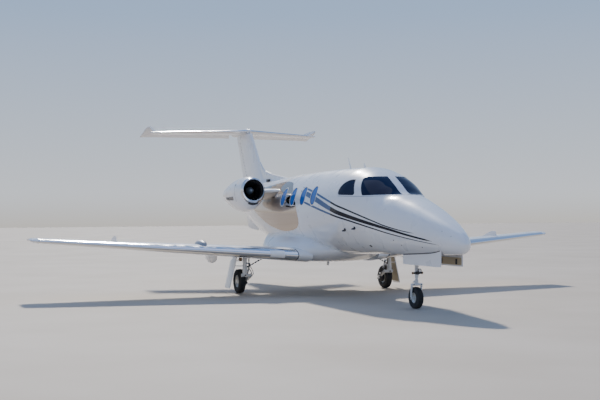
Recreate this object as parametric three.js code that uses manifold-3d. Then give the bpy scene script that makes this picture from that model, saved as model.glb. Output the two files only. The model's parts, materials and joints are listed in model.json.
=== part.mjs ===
// Twin-engined light business jet, parked on its gear.
// Millimetres. +X points to the nose, +Y to port, +Z up; z = 0 is the ground.
// Lengthwise places are stations: millimetres aft of the nose tip.
import * as THREE from 'three';
import { mergeVertices } from 'three/addons/utils/BufferGeometryUtils.js';
import Module from 'manifold-3d';

const wasm = await Module();
wasm.setup();

// Driving dimensions
const LENGTH = 12820;
const NOSE_X = LENGTH / 2;
const PANEL_GAP = 0.4;      // between fixed pieces that meet
const DOOR_GAP = 6;         // around doors
const HINGE_GAP = 8;        // around hinged tail and wing surfaces
const WALL = 60;            // cabin wall, doors and hatches
const TAIL_WALL = 30;
const RING_SIDES = 28;      // of the fuselage's outer skin
const INNER_SIDES = 18;     // of its inner wall
const FAIRING_SIDES = 24;

const FLOOR_Z = 1120;
const FLOOR_THICK = 30;

const NOSE_WHEEL = { station: 1750, radius: 195, width: 130, bead: 92, bore: 17, sides: 26 };
const MAIN_WHEEL = { station: 6410, radius: 260, width: 150, bead: 131, bore: 26, sides: 26 };
const MAIN_WHEEL_Y = 1755;

// The engines' tails point down and inwards, by degrees
const ENGINE = { station: 6740, y: 1300, z: 2240, length: 1950, droop: 2.3, toe: 3 };

// Where the fuselage panels meet
const SPLIT = { nose: 520, cockpit: 1350, cabin: 3400, aft: 6900, tail: 8500, end: 11980 };

// Fuselage sections: station, top, bottom, half width, height of the widest point,
// exponent of the upper half, exponent of the lower half
const FUSELAGE = [
  [0, 1195, 1185, 10, 1190, 2, 2],
  [40, 1262, 1090, 75, 1180, 2, 2],
  [120, 1350, 1032, 128, 1192, 2.05, 2.1],
  [270, 1440, 1010, 190, 1220, 2.12, 2.2],
  [520, 1561, 994, 272, 1263, 2.2, 2.2],
  [870, 1708, 979, 363, 1312, 2.25, 2.2],
  [1220, 1837, 968, 434, 1355, 2.33, 2.2],
  [1620, 1958, 955, 503, 1408, 2.43, 2.2],
  [1900, 2033, 946, 551, 1446, 2.53, 2.2],
  [2100, 2060, 942, 589, 1475, 2.58, 2.2],
  [2400, 2236, 940, 656, 1553, 2.62, 2.2],
  [2690, 2404, 940, 718, 1640, 2.48, 2.2],
  [3000, 2519, 935, 780, 1712, 2.26, 2.2],
  [3420, 2604, 915, 850, 1745, 2.2, 2.2],
  [4500, 2620, 880, 860, 1760, 2.2, 2.2],
  [6400, 2600, 880, 860, 1760, 2.2, 2.2],
  [7400, 2560, 930, 830, 1780, 2.2, 2.15],
  [8400, 2520, 1100, 730, 1840, 2.1, 2.1],
  [9400, 2500, 1360, 580, 1950, 2, 2],
  [10400, 2480, 1660, 410, 2080, 2, 2],
  [11300, 2430, 1930, 250, 2190, 2, 2],
  [11900, 2360, 2120, 120, 2240, 2, 2],
  [11980, 2300, 2180, 60, 2240, 2, 2],
];

// Belly fairing sections, with the same columns
const FAIRING = [
  [4150, 1000, 905, 250, 950, 2, 2],
  [4450, 1150, 810, 560, 950, 2, 2.4],
  [4800, 1290, 725, 830, 945, 2, 2.6],
  [5200, 1380, 690, 960, 935, 2, 2.8],
  [5700, 1420, 668, 1010, 930, 2, 3],
  [6300, 1430, 645, 1020, 930, 2, 3],
  [6800, 1430, 630, 1000, 930, 2, 3],
  [7200, 1420, 720, 930, 960, 2, 2.8],
  [7500, 1400, 1000, 700, 1200, 2, 2],
  [7800, 1340, 1120, 480, 1230, 2, 2],
];

// Wing sections: distance from the centreline, leading-edge station, chord,
// leading-edge height, incidence in degrees, thickness over chord
const WING = [
  [750, 4696, 2045, 842, 2.5, 0.148],
  [3500, 5512, 1436, 1014, 1.7, 0.138],
  [6000, 6255, 883, 1184, 1, 0.122],
  [6110, 6300, 800, 1194, 1, 0.097],
  [6150, 6400, 600, 1204, 1, 0.045],
];
const WING_CAMBER = 0.018;
const WING_HINGE = 0.77;    // share of the chord ahead of flap and aileron
const LEADING_EDGE_DEPTH = 0.1;
const FLAP_SPAN = [1110, 3490];
const AILERON_SPAN = [3530, 5650];
const FLAP_AXIS_DROP = 215;
const CANOE = { y: 2350, start: 6150, end: 6960, half: 62, z: 785, drop: 128 };
const FENCE_Y = 4500;

// Tailplane sections, with the wing's columns
const TAILPLANE = [
  [0, 10760, 1300, 3890, 0, 0.1],
  [2100, 11800, 890, 3894, 0, 0.095],
  [2400, 11948, 857, 3895, 0, 0.085],
  [2440, 12010, 818, 3895, 0, 0.065],
  [2465, 12100, 725, 3895, 0, 0.035],
];
const ELEVATOR_SPAN = [250, 2080];
const TAILPLANE_HINGE = 0.7;
const HORN_FROM = 0.995;    // share of the elevator's hinge line where its full-chord tip starts
const HORN_LEAN = 0.26;     // outboard lean of the tip's inner edge
const ELEVATOR_DROOP = 16;  // degrees, trailing edge down, as parked

// Fin: height, leading-edge station, trailing-edge station
const FIN_ROOT = { z: 2350, lead: 9413, trail: 11128 };
const FIN_TOP = { z: 3820, lead: 10598, trail: 11810 };
const FIN_THICK = 0.1;
const RUDDER_LOW = { z: 2700, station: 10924 };
const RUDDER_HIGH = { z: 3660, station: 11506 };

const MATERIALS = {
  paint: [0xf1f2f4, 0.22, 0.0],
  composite: [0xf1f2f4, 0.24, 0.0],
  polished: [0xc9cdd2, 0.16, 1.0],
  glass: [0x0a1430, 0.05, 0.0],
  rubber: [0x17171a, 0.85, 0.0],
  wheel: [0xc8c9c6, 0.4, 0.6],
  gear: [0xe4e5e6, 0.35, 0.1],
  engine: [0x4d5058, 0.4, 0.8],
  fan: [0x30333a, 0.35, 0.8],
  leather: [0xb9a88e, 0.6, 0.0],
  carpet: [0x6d6459, 0.95, 0.0],
  panel: [0x23252a, 0.6, 0.0],
  lens: [0xdde6ee, 0.05, 0.0],
};

const jet = new THREE.Group();

// Solids

function solidFrom(positions, triangles) {
  const build = (tri) => new wasm.Manifold(new wasm.Mesh({
    numProp: 3, vertProperties: new Float32Array(positions), triVerts: new Uint32Array(tri),
  }));
  const solid = build(triangles);
  if (solid.volume() > 0) return solid;
  const flipped = [];
  for (let i = 0; i < triangles.length; i += 3) flipped.push(triangles[i], triangles[i + 2], triangles[i + 1]);
  return build(flipped);
}

function solidOf(geometry) {
  const bare = geometry.clone();
  bare.deleteAttribute('normal');
  bare.deleteAttribute('uv');
  const merged = mergeVertices(bare, 1e-3);
  const index = Array.from(merged.index.array);
  const kept = [];
  for (let i = 0; i < index.length; i += 3) {
    const [a, b, c] = index.slice(i, i + 3);
    if (a !== b && b !== c && a !== c) kept.push(a, b, c);
  }
  return solidFrom(merged.attributes.position.array, kept);
}

const union = (...solids) => solids.reduce((whole, solid) => whole.add(solid));
const cut = (solid, ...tools) => tools.reduce((left, tool) => left.subtract(tool), solid);
const common = (a, b) => a.intersect(b);

function add(name, solid, material, parent = jet) {
  const mesh = solid.getMesh();
  const geometry = new THREE.BufferGeometry();
  const positions = new Float32Array(mesh.numVert * 3);
  for (let i = 0; i < mesh.numVert; i += 1) {
    for (let k = 0; k < 3; k += 1) positions[3 * i + k] = mesh.vertProperties[mesh.numProp * i + k];
  }
  geometry.setAttribute('position', new THREE.BufferAttribute(positions, 3));
  geometry.setIndex(new THREE.BufferAttribute(new Uint32Array(mesh.triVerts), 1));
  const [color, roughness, metalness] = MATERIALS[material];
  const piece = new THREE.Mesh(geometry, new THREE.MeshStandardMaterial({ color, roughness, metalness }));
  piece.name = name;
  parent.add(piece);
}

// A closed skin through rings of equal point counts
function loft(rings) {
  const count = rings[0].length;
  const positions = rings.flat(2);
  const triangles = [];
  for (let r = 0; r + 1 < rings.length; r += 1) {
    for (let i = 0; i < count; i += 1) {
      const a = r * count + i;
      const b = r * count + (i + 1) % count;
      triangles.push(a, b, b + count, a, b + count, a + count);
    }
  }
  const last = (rings.length - 1) * count;
  for (let i = 1; i + 1 < count; i += 1) {
    triangles.push(0, i + 1, i, last, last + i, last + i + 1);
  }
  return solidFrom(positions, triangles);
}

const X = (station) => NOSE_X - station;
const place = (station, y, z) => new THREE.Vector3(X(station), y, z);

function block(stations, ys, zs) {
  const [s0, s1] = stations;
  const [y0, y1] = [Math.min(...ys), Math.max(...ys)];
  const [z0, z1] = zs;
  const box = new THREE.BoxGeometry(s1 - s0, y1 - y0, z1 - z0);
  box.translate(X((s0 + s1) / 2), (y0 + y1) / 2, (z0 + z1) / 2);
  return solidOf(box);
}

// A rod between two points, round unless it has few sides
function rod(from, to, radius, sides = 16, endRadius = radius) {
  const along = to.clone().sub(from);
  const geometry = new THREE.CylinderGeometry(endRadius, radius, along.length(), sides);
  const turn = new THREE.Quaternion().setFromUnitVectors(new THREE.Vector3(0, 1, 0), along.clone().normalize());
  geometry.applyQuaternion(turn);
  const middle = from.clone().add(to).multiplyScalar(0.5);
  geometry.translate(middle.x, middle.y, middle.z);
  return solidOf(geometry);
}

// A side-view outline of [station, z] points, as thick as the two y values say
function plateAcross(outline, y0, y1) {
  const shape = new THREE.Shape(outline.map(([s, z]) => new THREE.Vector2(X(s), z)));
  const geometry = new THREE.ExtrudeGeometry(shape, { depth: Math.abs(y1 - y0), bevelEnabled: false });
  geometry.rotateX(Math.PI / 2);
  geometry.translate(0, Math.max(y0, y1), 0);
  return solidOf(geometry);
}

// A turned solid: [radius, distance] points, about the Y axis
function turned(profile, sides) {
  return solidOf(new THREE.LatheGeometry(profile.map(([r, a]) => new THREE.Vector2(r, a)), sides));
}

// Smooth interpolation that keeps each column's rises and falls
function monotone(rows, column) {
  const n = rows.length;
  const xs = rows.map((row) => row[0]);
  const ys = rows.map((row) => row[column]);
  const slope = [];
  for (let i = 0; i + 1 < n; i += 1) slope.push((ys[i + 1] - ys[i]) / (xs[i + 1] - xs[i]));
  const tangent = ys.map((_, i) => {
    if (i === 0) return slope[0];
    if (i === n - 1) return slope[n - 2];
    if (slope[i - 1] * slope[i] <= 0) return 0;
    return 2 * slope[i - 1] * slope[i] / (slope[i - 1] + slope[i]);
  });
  return (x) => {
    let i = 0;
    while (i < n - 2 && x > xs[i + 1]) i += 1;
    const h = xs[i + 1] - xs[i];
    const t = (x - xs[i]) / h;
    return ys[i] * (2 * t ** 3 - 3 * t ** 2 + 1) + tangent[i] * h * (t ** 3 - 2 * t ** 2 + t)
      + ys[i + 1] * (3 * t ** 2 - 2 * t ** 3) + tangent[i + 1] * h * (t ** 3 - t ** 2);
  };
}

function sectionReader(table) {
  const columns = [1, 2, 3, 4, 5, 6].map((column) => monotone(table, column));
  return (station) => {
    const [top, bottom, half, waist, upper, lower] = columns.map((read) => read(station));
    return { top, bottom, half, waist, upper, lower };
  };
}

const fuselageAt = sectionReader(FUSELAGE);
const fairingAt = sectionReader(FAIRING);

// One point of a section, turn counted from port over the top; inset moves it inwards
function sectionPoint(sectionAt, station, turn, inset = 0) {
  const { top, bottom, half, waist, upper, lower } = sectionAt(station);
  const c = Math.cos(turn);
  const s = Math.sin(turn);
  const power = 2 / (s >= 0 ? upper : lower);
  const rise = s >= 0 ? top - inset - waist : waist - bottom - inset;
  return [
    X(station),
    (half - inset) * Math.sign(c) * Math.abs(c) ** power,
    waist + rise * Math.sign(s) * Math.abs(s) ** power,
  ];
}

function skin(stations, sectionAt, inset, sides) {
  return loft(stations.map((station) => Array.from({ length: sides },
    (_, i) => sectionPoint(sectionAt, station, 2 * Math.PI * i / sides, inset))));
}

// The fuselage between two stations, its skin moved inwards by the inset
const RING_STATIONS = [...new Set([...FUSELAGE.map((row) => row[0]), ...Object.values(SPLIT)])]
  .sort((a, b) => a - b);

function fuselage(from, to, inset = 0) {
  const roomy = RING_STATIONS.filter((station) => inset <= 0 || fuselageAt(station).half > 2 * inset);
  const sides = inset >= TAIL_WALL ? INNER_SIDES : RING_SIDES;
  return common(skin(roomy, fuselageAt, inset, sides), block([from, to], [-1000, 1000], [500, 3000]));
}

const section = (from, to) => fuselage(from + PANEL_GAP / 2, to - PANEL_GAP / 2);

// Outer height of the fuselage side at a station and height: its distance from the centreline
function sideY(station, z) {
  const { top, bottom, half, waist, upper, lower } = fuselageAt(station);
  const power = z >= waist ? upper : lower;
  const share = z >= waist ? (z - waist) / (top - waist) : (waist - z) / (waist - bottom);
  return half * (1 - share ** power) ** (1 / power);
}

// Aerofoils: half thickness over thickness along the chord, and a round camber line
const CHORD_STEPS = [1, 0.7, 0.4, 0.2, 0.08, 0.02, 0];
const TRAILING_HALF = 2.5;

function aerofoil(share, thickness, camber, chord) {
  const root = Math.sqrt(share);
  const half = 5 * thickness * (0.2969 * root - 0.126 * share - 0.3516 * share ** 2
    + 0.2843 * share ** 3 - 0.1036 * share ** 4);
  return { half: half * chord + TRAILING_HALF * share, mid: 4 * camber * share * (1 - share) * chord };
}

function rowAt(table, y) {
  const last = table.length - 2;
  const i = Math.min(Math.max(table.findIndex((row) => row[0] > y) - 1, 0), last);
  const t = (y - table[i][0]) / (table[i + 1][0] - table[i][0]);
  return table[i].map((value, k) => value + (table[i + 1][k] - value) * t);
}

// A point of a wing or tailplane: level is -1 below, 0 in the middle, 1 above
function foilPoint(row, camber, share, level, side, grow = 0) {
  const [y, lead, chord, z, incidence, thickness] = row;
  const { half, mid } = aerofoil(share, thickness, camber, chord);
  const up = mid + level * (half + grow);
  const tilt = THREE.MathUtils.degToRad(incidence);
  const aft = share * chord + (share - 0.5) * 2 * grow;
  return [
    X(lead + aft * Math.cos(tilt) + up * Math.sin(tilt)),
    side * y,
    z - aft * Math.sin(tilt) + up * Math.cos(tilt),
  ];
}

function foilRing(row, camber, side, grow = 0) {
  const upper = CHORD_STEPS.map((share) => foilPoint(row, camber, share, 1, side, grow));
  const lower = CHORD_STEPS.slice(0, -1).reverse().map((share) => foilPoint(row, camber, share, -1, side, grow));
  return [...upper, ...lower];
}

// The frame of a hinge line: along it, towards a given side of it, and square to both
function hingeFrame(from, to, towards) {
  const along = to.clone().sub(from);
  const length = along.length();
  along.normalize();
  const across = towards.clone().addScaledVector(along, -towards.dot(along)).normalize();
  const square = new THREE.Vector3().crossVectors(along, across);
  const matrix = new THREE.Matrix4().makeBasis(along, across, square).setPosition(from);
  return { matrix, length };
}

// A box in a hinge frame, from its low corner to its high one
function hingeBox(frame, low, high) {
  const size = high.map((value, k) => value - low[k]);
  const box = new THREE.BoxGeometry(...size);
  box.translate(...low.map((value, k) => value + size[k] / 2));
  box.applyMatrix4(frame.matrix);
  return solidOf(box);
}

// A round bar on the hinge line
function hingeBar(frame, from, to, radius, endRadius = radius) {
  const bar = new THREE.CylinderGeometry(endRadius, radius, to - from, radius > 25 ? 12 : 8);
  bar.rotateZ(-Math.PI / 2);
  bar.translate((from + to) / 2, 0, 0);
  bar.applyMatrix4(frame.matrix);
  return solidOf(bar);
}

const AFT = new THREE.Vector3(-1, 0, 0);
const HINGE_PIN = 7;

// Splits a foil at a hinge inside its thickness: the moving part has a round nose,
// and a pin that reaches the fixed part at both ends
function splitRound(whole, from, to, radii, depth) {
  const frame = hingeFrame(from, to, AFT);
  const [r0, r1] = radii;
  const reach = 3 * r0 + 60;
  const far = frame.length + HINGE_GAP;
  const moving = common(whole, union(
    hingeBox(frame, [0, 0, -reach], [frame.length, depth, reach]),
    hingeBar(frame, 0, frame.length, r0, r1),
  ));
  const fixed = cut(
    whole,
    hingeBox(frame, [-HINGE_GAP, 0, -reach], [far, depth, reach]),
    hingeBar(frame, -HINGE_GAP, far, r0 + HINGE_GAP, r1 + HINGE_GAP),
  );
  const pin = hingeBar(frame, PANEL_GAP - HINGE_GAP, far - PANEL_GAP, HINGE_PIN);
  return { moving: union(moving, pin), fixed };
}

const vector = (point) => new THREE.Vector3(...point);

// Fuselage

const BAY_HALF = 150;
const BAY_ROOF = 1070;
const BAY_ROOF_FORWARD = 1200;
const BAY_STATIONS = [560, 1870];

function noseBay() {
  return union(
    block([BAY_STATIONS[0], 1352], [-BAY_HALF, BAY_HALF], [700, BAY_ROOF_FORWARD]),
    block([1340, BAY_STATIONS[1]], [-BAY_HALF, BAY_HALF], [700, BAY_ROOF]),
  );
}

// Windows, as side-view outlines
const WINDSHIELD = [[1950, 2048], [2628, 2040], [2905, 2368], [2860, 2394], [2500, 2400]];
const POST_HALF = 78;
const CABIN_WINDOWS = { stations: [4500, 5060, 5620, 6180], z: 2072, half: 132, tall: 188, sides: 10 };

function quarterWindow() {
  const points = [[2858, 2050], [3330, 2060], [3378, 2130]];
  for (const turn of [20, 45, 65]) {
    const angle = THREE.MathUtils.degToRad(turn);
    points.push([3120 + 258 * Math.cos(angle), 2130 + 224 * Math.sin(angle)]);
  }
  points.push([3110, 2354], [3052, 2350]);
  return points;
}

function ovalWindow(station) {
  const { z, half, tall, sides } = CABIN_WINDOWS;
  return Array.from({ length: sides }, (_, i) => {
    const turn = 2 * Math.PI * (i + 0.5) / sides;
    const c = Math.cos(turn);
    const s = Math.sin(turn);
    return [station + half * Math.sign(c) * Math.abs(c) ** 0.8, z + tall * Math.sign(s) * Math.abs(s) ** 0.8];
  });
}

const OUTSIDE = 1100;

function cockpitHoles(side) {
  return [
    plateAcross(WINDSHIELD, side * POST_HALF, side * OUTSIDE),
    plateAcross(quarterWindow(), side * 300, side * OUTSIDE),
  ];
}

function cabinHoles(side) {
  return CABIN_WINDOWS.stations.map((station) => plateAcross(ovalWindow(station), side * 500, side * OUTSIDE));
}

// Doors: hinge line ends on the skin, and how far the door reaches from it
const DOORS = {
  entry: { stations: [3460, 4130], low: 1150, high: 2490, hingeAt: 'low' },
  noseHold: { stations: [840, 1250], low: 1330, high: 1590, hingeAt: 'high' },
  aftHold: { stations: [7350, 8050], low: 1330, high: 1790, hingeAt: 'high' },
};

const DOOR_REACH = 420;     // how far a door's box reaches in and out of its hinge line
const KNUCKLE_RADIUS = 10;
const KNUCKLE_GAP = 1.2;    // keeps the knuckles' corners clear as they turn

function doorFrame(door) {
  const z = door[door.hingeAt];
  const [from, to] = door.stations.map((station) => place(station, sideY(station, z), z));
  return hingeFrame(from, to, new THREE.Vector3(0, -1, 0));
}

// The box that a door fills, its sides square to its hinge line
function doorBox(door, gap) {
  const frame = doorFrame(door);
  const height = door.high - door.low;
  const [low, high] = door.hingeAt === 'low' ? [0, height] : [-height, 0];
  return hingeBox(frame, [gap, -DOOR_REACH, low + gap], [frame.length - gap, DOOR_REACH, high - gap]);
}

// Two hinge knuckles on a door's hinge line
function knuckles(door, gap) {
  const frame = doorFrame(door);
  return union(...[0.2, 0.7].map((share) => hingeBar(
    frame, share * frame.length - gap, (share + 0.1) * frame.length + gap, KNUCKLE_RADIUS + gap)));
}

const HOLDS = {
  nose: { stations: [800, 1300], zs: [1260, 1720] },
  aft: { stations: [6960, 8440], zs: [1230, 2600] },
};

function hold({ stations, zs }) {
  return common(fuselage(...stations, WALL), block(stations, [-900, 900], zs));
}

function buildNose() {
  add('nose_cone', section(0, SPLIT.nose), 'composite');
  const outer = section(SPLIT.nose, SPLIT.cockpit);
  const inside = hold(HOLDS.nose);
  const portSide = block([700, 1345], [0, 900], [900, 1800]);
  const doorway = union(common(doorBox(DOORS.noseHold, 0), portSide), knuckles(DOORS.noseHold, KNUCKLE_GAP));
  add('nose_section', cut(outer, noseBay(), inside, doorway), 'paint');
  const wall = common(cut(outer, fuselage(600, SPLIT.cockpit, WALL)), portSide);
  const panel = common(wall, doorBox(DOORS.noseHold, DOOR_GAP));
  add('nose_hold_door', union(panel, knuckles(DOORS.noseHold, 0)), 'paint');
}

const CABIN_BACK = 6850;
const TAIL_SOLID_FROM = 11000;

function cabinHollow(from, to) {
  return common(fuselage(from, to, WALL), block([from, to], [-900, 900], [FLOOR_Z, 2700]));
}

function buildCockpit() {
  const jackPad = rod(place(3200, 0, 1000), place(3200, 0, 905), 32, 24);
  const shell = cut(
    section(SPLIT.cockpit, SPLIT.cabin),
    cabinHollow(SPLIT.cockpit + 80, SPLIT.cabin + 50),
    noseBay(),
    ...cockpitHoles(1),
    ...cockpitHoles(-1),
  );
  add('cockpit_section', union(shell, jackPad), 'paint');
}

function antenna(station, length, height) {
  const top = fuselageAt(station).top;
  return plateAcross([
    [station - length / 2, top - 15], [station + length / 2, top - 15],
    [station + length / 2 + height * 0.55, top + height], [station + height * 0.55, top + height],
  ], -7, 7);
}

const STEP_TREADS = [1380, 1640, 1900];

function buildCabin() {
  const portSide = block([3402, 4300], [300, 1000], [1000, 2600]);
  const doorway = union(common(doorBox(DOORS.entry, 0), portSide), knuckles(DOORS.entry, KNUCKLE_GAP));
  const hollow = cabinHollow(SPLIT.cabin - 50, CABIN_BACK);
  const shell = cut(section(SPLIT.cabin, SPLIT.aft), hollow, doorway, ...cabinHoles(1), ...cabinHoles(-1));
  add('cabin_section', union(shell, antenna(4400, 190, 150), antenna(3760, 90, 70)), 'paint');

  const skinOnly = cut(section(SPLIT.cabin, 4400), fuselage(3300, 4450, WALL));
  const panel = common(common(skinOnly, doorBox(DOORS.entry, DOOR_GAP)), portSide);
  const treads = STEP_TREADS.map((z) => {
    const y = sideY(3800, z);
    return block([3540, 4050], [y - 190, y - 30], [z, z + 35]);
  });
  add('entry_door', union(panel, knuckles(DOORS.entry, 0), ...treads), 'paint');
}

function buildAft() {
  const outer = section(SPLIT.aft, SPLIT.tail);
  const portSide = block([7000, 8450], [0, 1000], [1000, 2000]);
  const doorway = union(common(doorBox(DOORS.aftHold, 0), portSide), knuckles(DOORS.aftHold, KNUCKLE_GAP));
  add('aft_section', cut(outer, hold(HOLDS.aft), doorway), 'paint');
  const wall = common(cut(outer, fuselage(6950, 8450, WALL)), portSide);
  add('aft_hold_door', union(common(wall, doorBox(DOORS.aftHold, DOOR_GAP)), knuckles(DOORS.aftHold, 0)), 'paint');

  const ventral = plateAcross([
    [9700, 1560], [10140, 1280], [10840, 1360], [10930, 1640], [10930, 1900], [9900, 1900],
  ], -18, 18);
  const cone = cut(section(SPLIT.tail, SPLIT.end), fuselage(SPLIT.tail - 50, TAIL_SOLID_FROM, TAIL_WALL));
  add('tail_cone', union(cone, ventral), 'paint');
}

// Glass: each pane fills its hole, and a thin strip along the inner wall joins them
const STRIP_THICK = 8;

function glazing(holes, from, to, strip) {
  const inside = fuselage(from - 10, to + 10, WALL + STRIP_THICK);
  const band = cut(fuselage(from, to, WALL + PANEL_GAP), inside);
  const panes = common(cut(fuselage(from, to, 4), inside), holes);
  return union(panes, common(band, strip));
}

const shrunkOutline = (outline, by) => {
  const cs = outline.reduce((sum, p) => sum + p[0], 0) / outline.length;
  const cz = outline.reduce((sum, p) => sum + p[1], 0) / outline.length;
  return outline.map(([s, z]) => {
    const reach = Math.hypot(s - cs, z - cz);
    return [s + (cs - s) * by / reach, z + (cz - z) * by / reach];
  });
};

const SIDES = [['left', 1], ['right', -1]];

function buildGlass() {
  for (const [word, side] of SIDES) {
    const front = plateAcross(shrunkOutline(WINDSHIELD, 1.5), side * (POST_HALF + 1), side * OUTSIDE);
    const quarter = plateAcross(shrunkOutline(quarterWindow(), 1.5), side * 300, side * OUTSIDE);
    const cockpitStrip = block([2550, 3200], [side * 300, side * OUTSIDE], [2100, 2200]);
    add(`cockpit_glass_${word}`, glazing(union(front, quarter), 1950, 3390, cockpitStrip), 'glass');
    const ovals = CABIN_WINDOWS.stations.map((station) => plateAcross(
      shrunkOutline(ovalWindow(station), 1.5), side * 500, side * OUTSIDE));
    const cabinStrip = block([4480, 6200], [side * 500, side * OUTSIDE], [2050, 2094]);
    add(`cabin_windows_${word}`, glazing(union(...ovals), 4300, 6400, cabinStrip), 'glass');
  }
}

// Cabin furniture

function seat(station, y, facing) {
  const s = (from, to) => (facing > 0 ? [station + from, station + to] : [station - to, station - from]);
  return union(
    block(s(0, 450), [y - 225, y + 225], [1400, 1520]),
    block(s(60, 400), [y - 130, y + 130], [FLOOR_Z + FLOOR_THICK + 20, 1410]),
    block(s(410, 540), [y - 225, y + 225], [1440, 2060]),
    block(s(420, 530), [y - 130, y + 130], [2050, 2210]),
  );
}

function buildInterior() {
  const floorTop = FLOOR_Z + PANEL_GAP + FLOOR_THICK;
  const floor = common(fuselage(1500, CABIN_BACK - PANEL_GAP, WALL + PANEL_GAP),
    block([1500, CABIN_BACK - PANEL_GAP], [-900, 900], [FLOOR_Z + PANEL_GAP, floorTop]));
  add('cabin_floor', floor, 'carpet');

  const inner = fuselage(1500, 3400, WALL + 6);
  const panel = union(
    block([2230, 2300], [-600, 600], [1330, 1990]),
    block([1980, 2330], [-600, 600], [1950, 2005]),
    block([2180, 2420], [-110, 110], [floorTop + PANEL_GAP, 1500]),
  );
  add('instrument_panel', common(inner, panel), 'panel');

  const rail = floorTop + PANEL_GAP;
  const crewRails = block([2750, 3180], [-420, 420], [rail, rail + 24]);
  add('cockpit_seats', union(crewRails, seat(2700, 300, 1), seat(2700, -300, 1)), 'leather');
  const cabinRails = block([4560, 6040], [-470, 470], [rail, rail + 24]);
  add('cabin_seats', union(cabinRails, ...[-1, 1].flatMap(
    (side) => [seat(5060, side * 400, -1), seat(5540, side * 400, 1)])), 'leather');
}

// Wing

function wingSkin(side, grow = 0) {
  return loft(WING.map((row) => foilRing(row, WING_CAMBER, side, grow)));
}

const wingPoint = (y, share, level, side) => vector(foilPoint(rowAt(WING, y), WING_CAMBER, share, level, side));

// The strip of a foil ahead of a share of the chord, as a slanted block in plan
function frontStrip(table, ys, share, side, gap) {
  const corners = ys.map((y, i) => {
    const row = rowAt(table, y);
    return { y: side * (y + (i === 0 ? gap : -gap)), lead: row[1] - 60, back: row[1] + share * row[2] - gap };
  });
  const ring = (z) => [
    [X(corners[0].lead), corners[0].y, z], [X(corners[0].back), corners[0].y, z],
    [X(corners[1].back), corners[1].y, z], [X(corners[1].lead), corners[1].y, z],
  ];
  return loft([ring(500), ring(1500)]);
}

const LEG_SLOT = { stations: [6070, 6200], ys: [1100, 1800], roof: 865 };
const WHEEL_BAY = { stations: [5880, 6420], ys: [500, 985], roof: 815 };

function wheelWells(side) {
  const slot = block(LEG_SLOT.stations, LEG_SLOT.ys.map((y) => side * y), [500, LEG_SLOT.roof]);
  const bay = block(WHEEL_BAY.stations, WHEEL_BAY.ys.map((y) => side * y), [500, WHEEL_BAY.roof]);
  return union(slot, bay);
}

function canoe(side) {
  const { y, start, end, half, z, drop } = CANOE;
  const steps = [[0, 0.15], [0.15, 0.66], [0.38, 1], [0.7, 0.9], [0.9, 0.5], [1, 0.15]];
  return loft(steps.map(([along, size]) => Array.from({ length: 8 }, (_, i) => {
    const turn = 2 * Math.PI * i / 8;
    const across = half * size * Math.cos(turn);
    return [X(start + (end - start) * along), side * (y + across), z + drop * size * Math.sin(turn)];
  })));
}

function fence(side) {
  const shares = [0.16, 0.21, 0.33, 0.67];
  const heights = [0, 108, 104, 14];
  const top = shares.map((share, i) => {
    const point = wingPoint(FENCE_Y, share, 1, side);
    return [NOSE_X - point.x, point.z + heights[i]];
  });
  const foot = [shares[3], shares[0]].map((share) => {
    const point = wingPoint(FENCE_Y, share, 0, side);
    return [NOSE_X - point.x, point.z];
  });
  return plateAcross([...top, ...foot], side * (FENCE_Y - 6), side * (FENCE_Y + 6));
}

// The flap hangs on a lug between two plates, at the bottom of the canoe
const FLAP_COVE = 24;
const CANOE_COVE = { depth: 36, half: 80, rise: 90 };
const LUG_RADIUS = 14;
const LUG_HALF = 4;
const LUG_PLATE = 7;
const lugPlates = [
  [LUG_HALF + PANEL_GAP, LUG_HALF + PANEL_GAP + LUG_PLATE],
  [-LUG_HALF - PANEL_GAP - LUG_PLATE, -LUG_HALF - PANEL_GAP],
];

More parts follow.
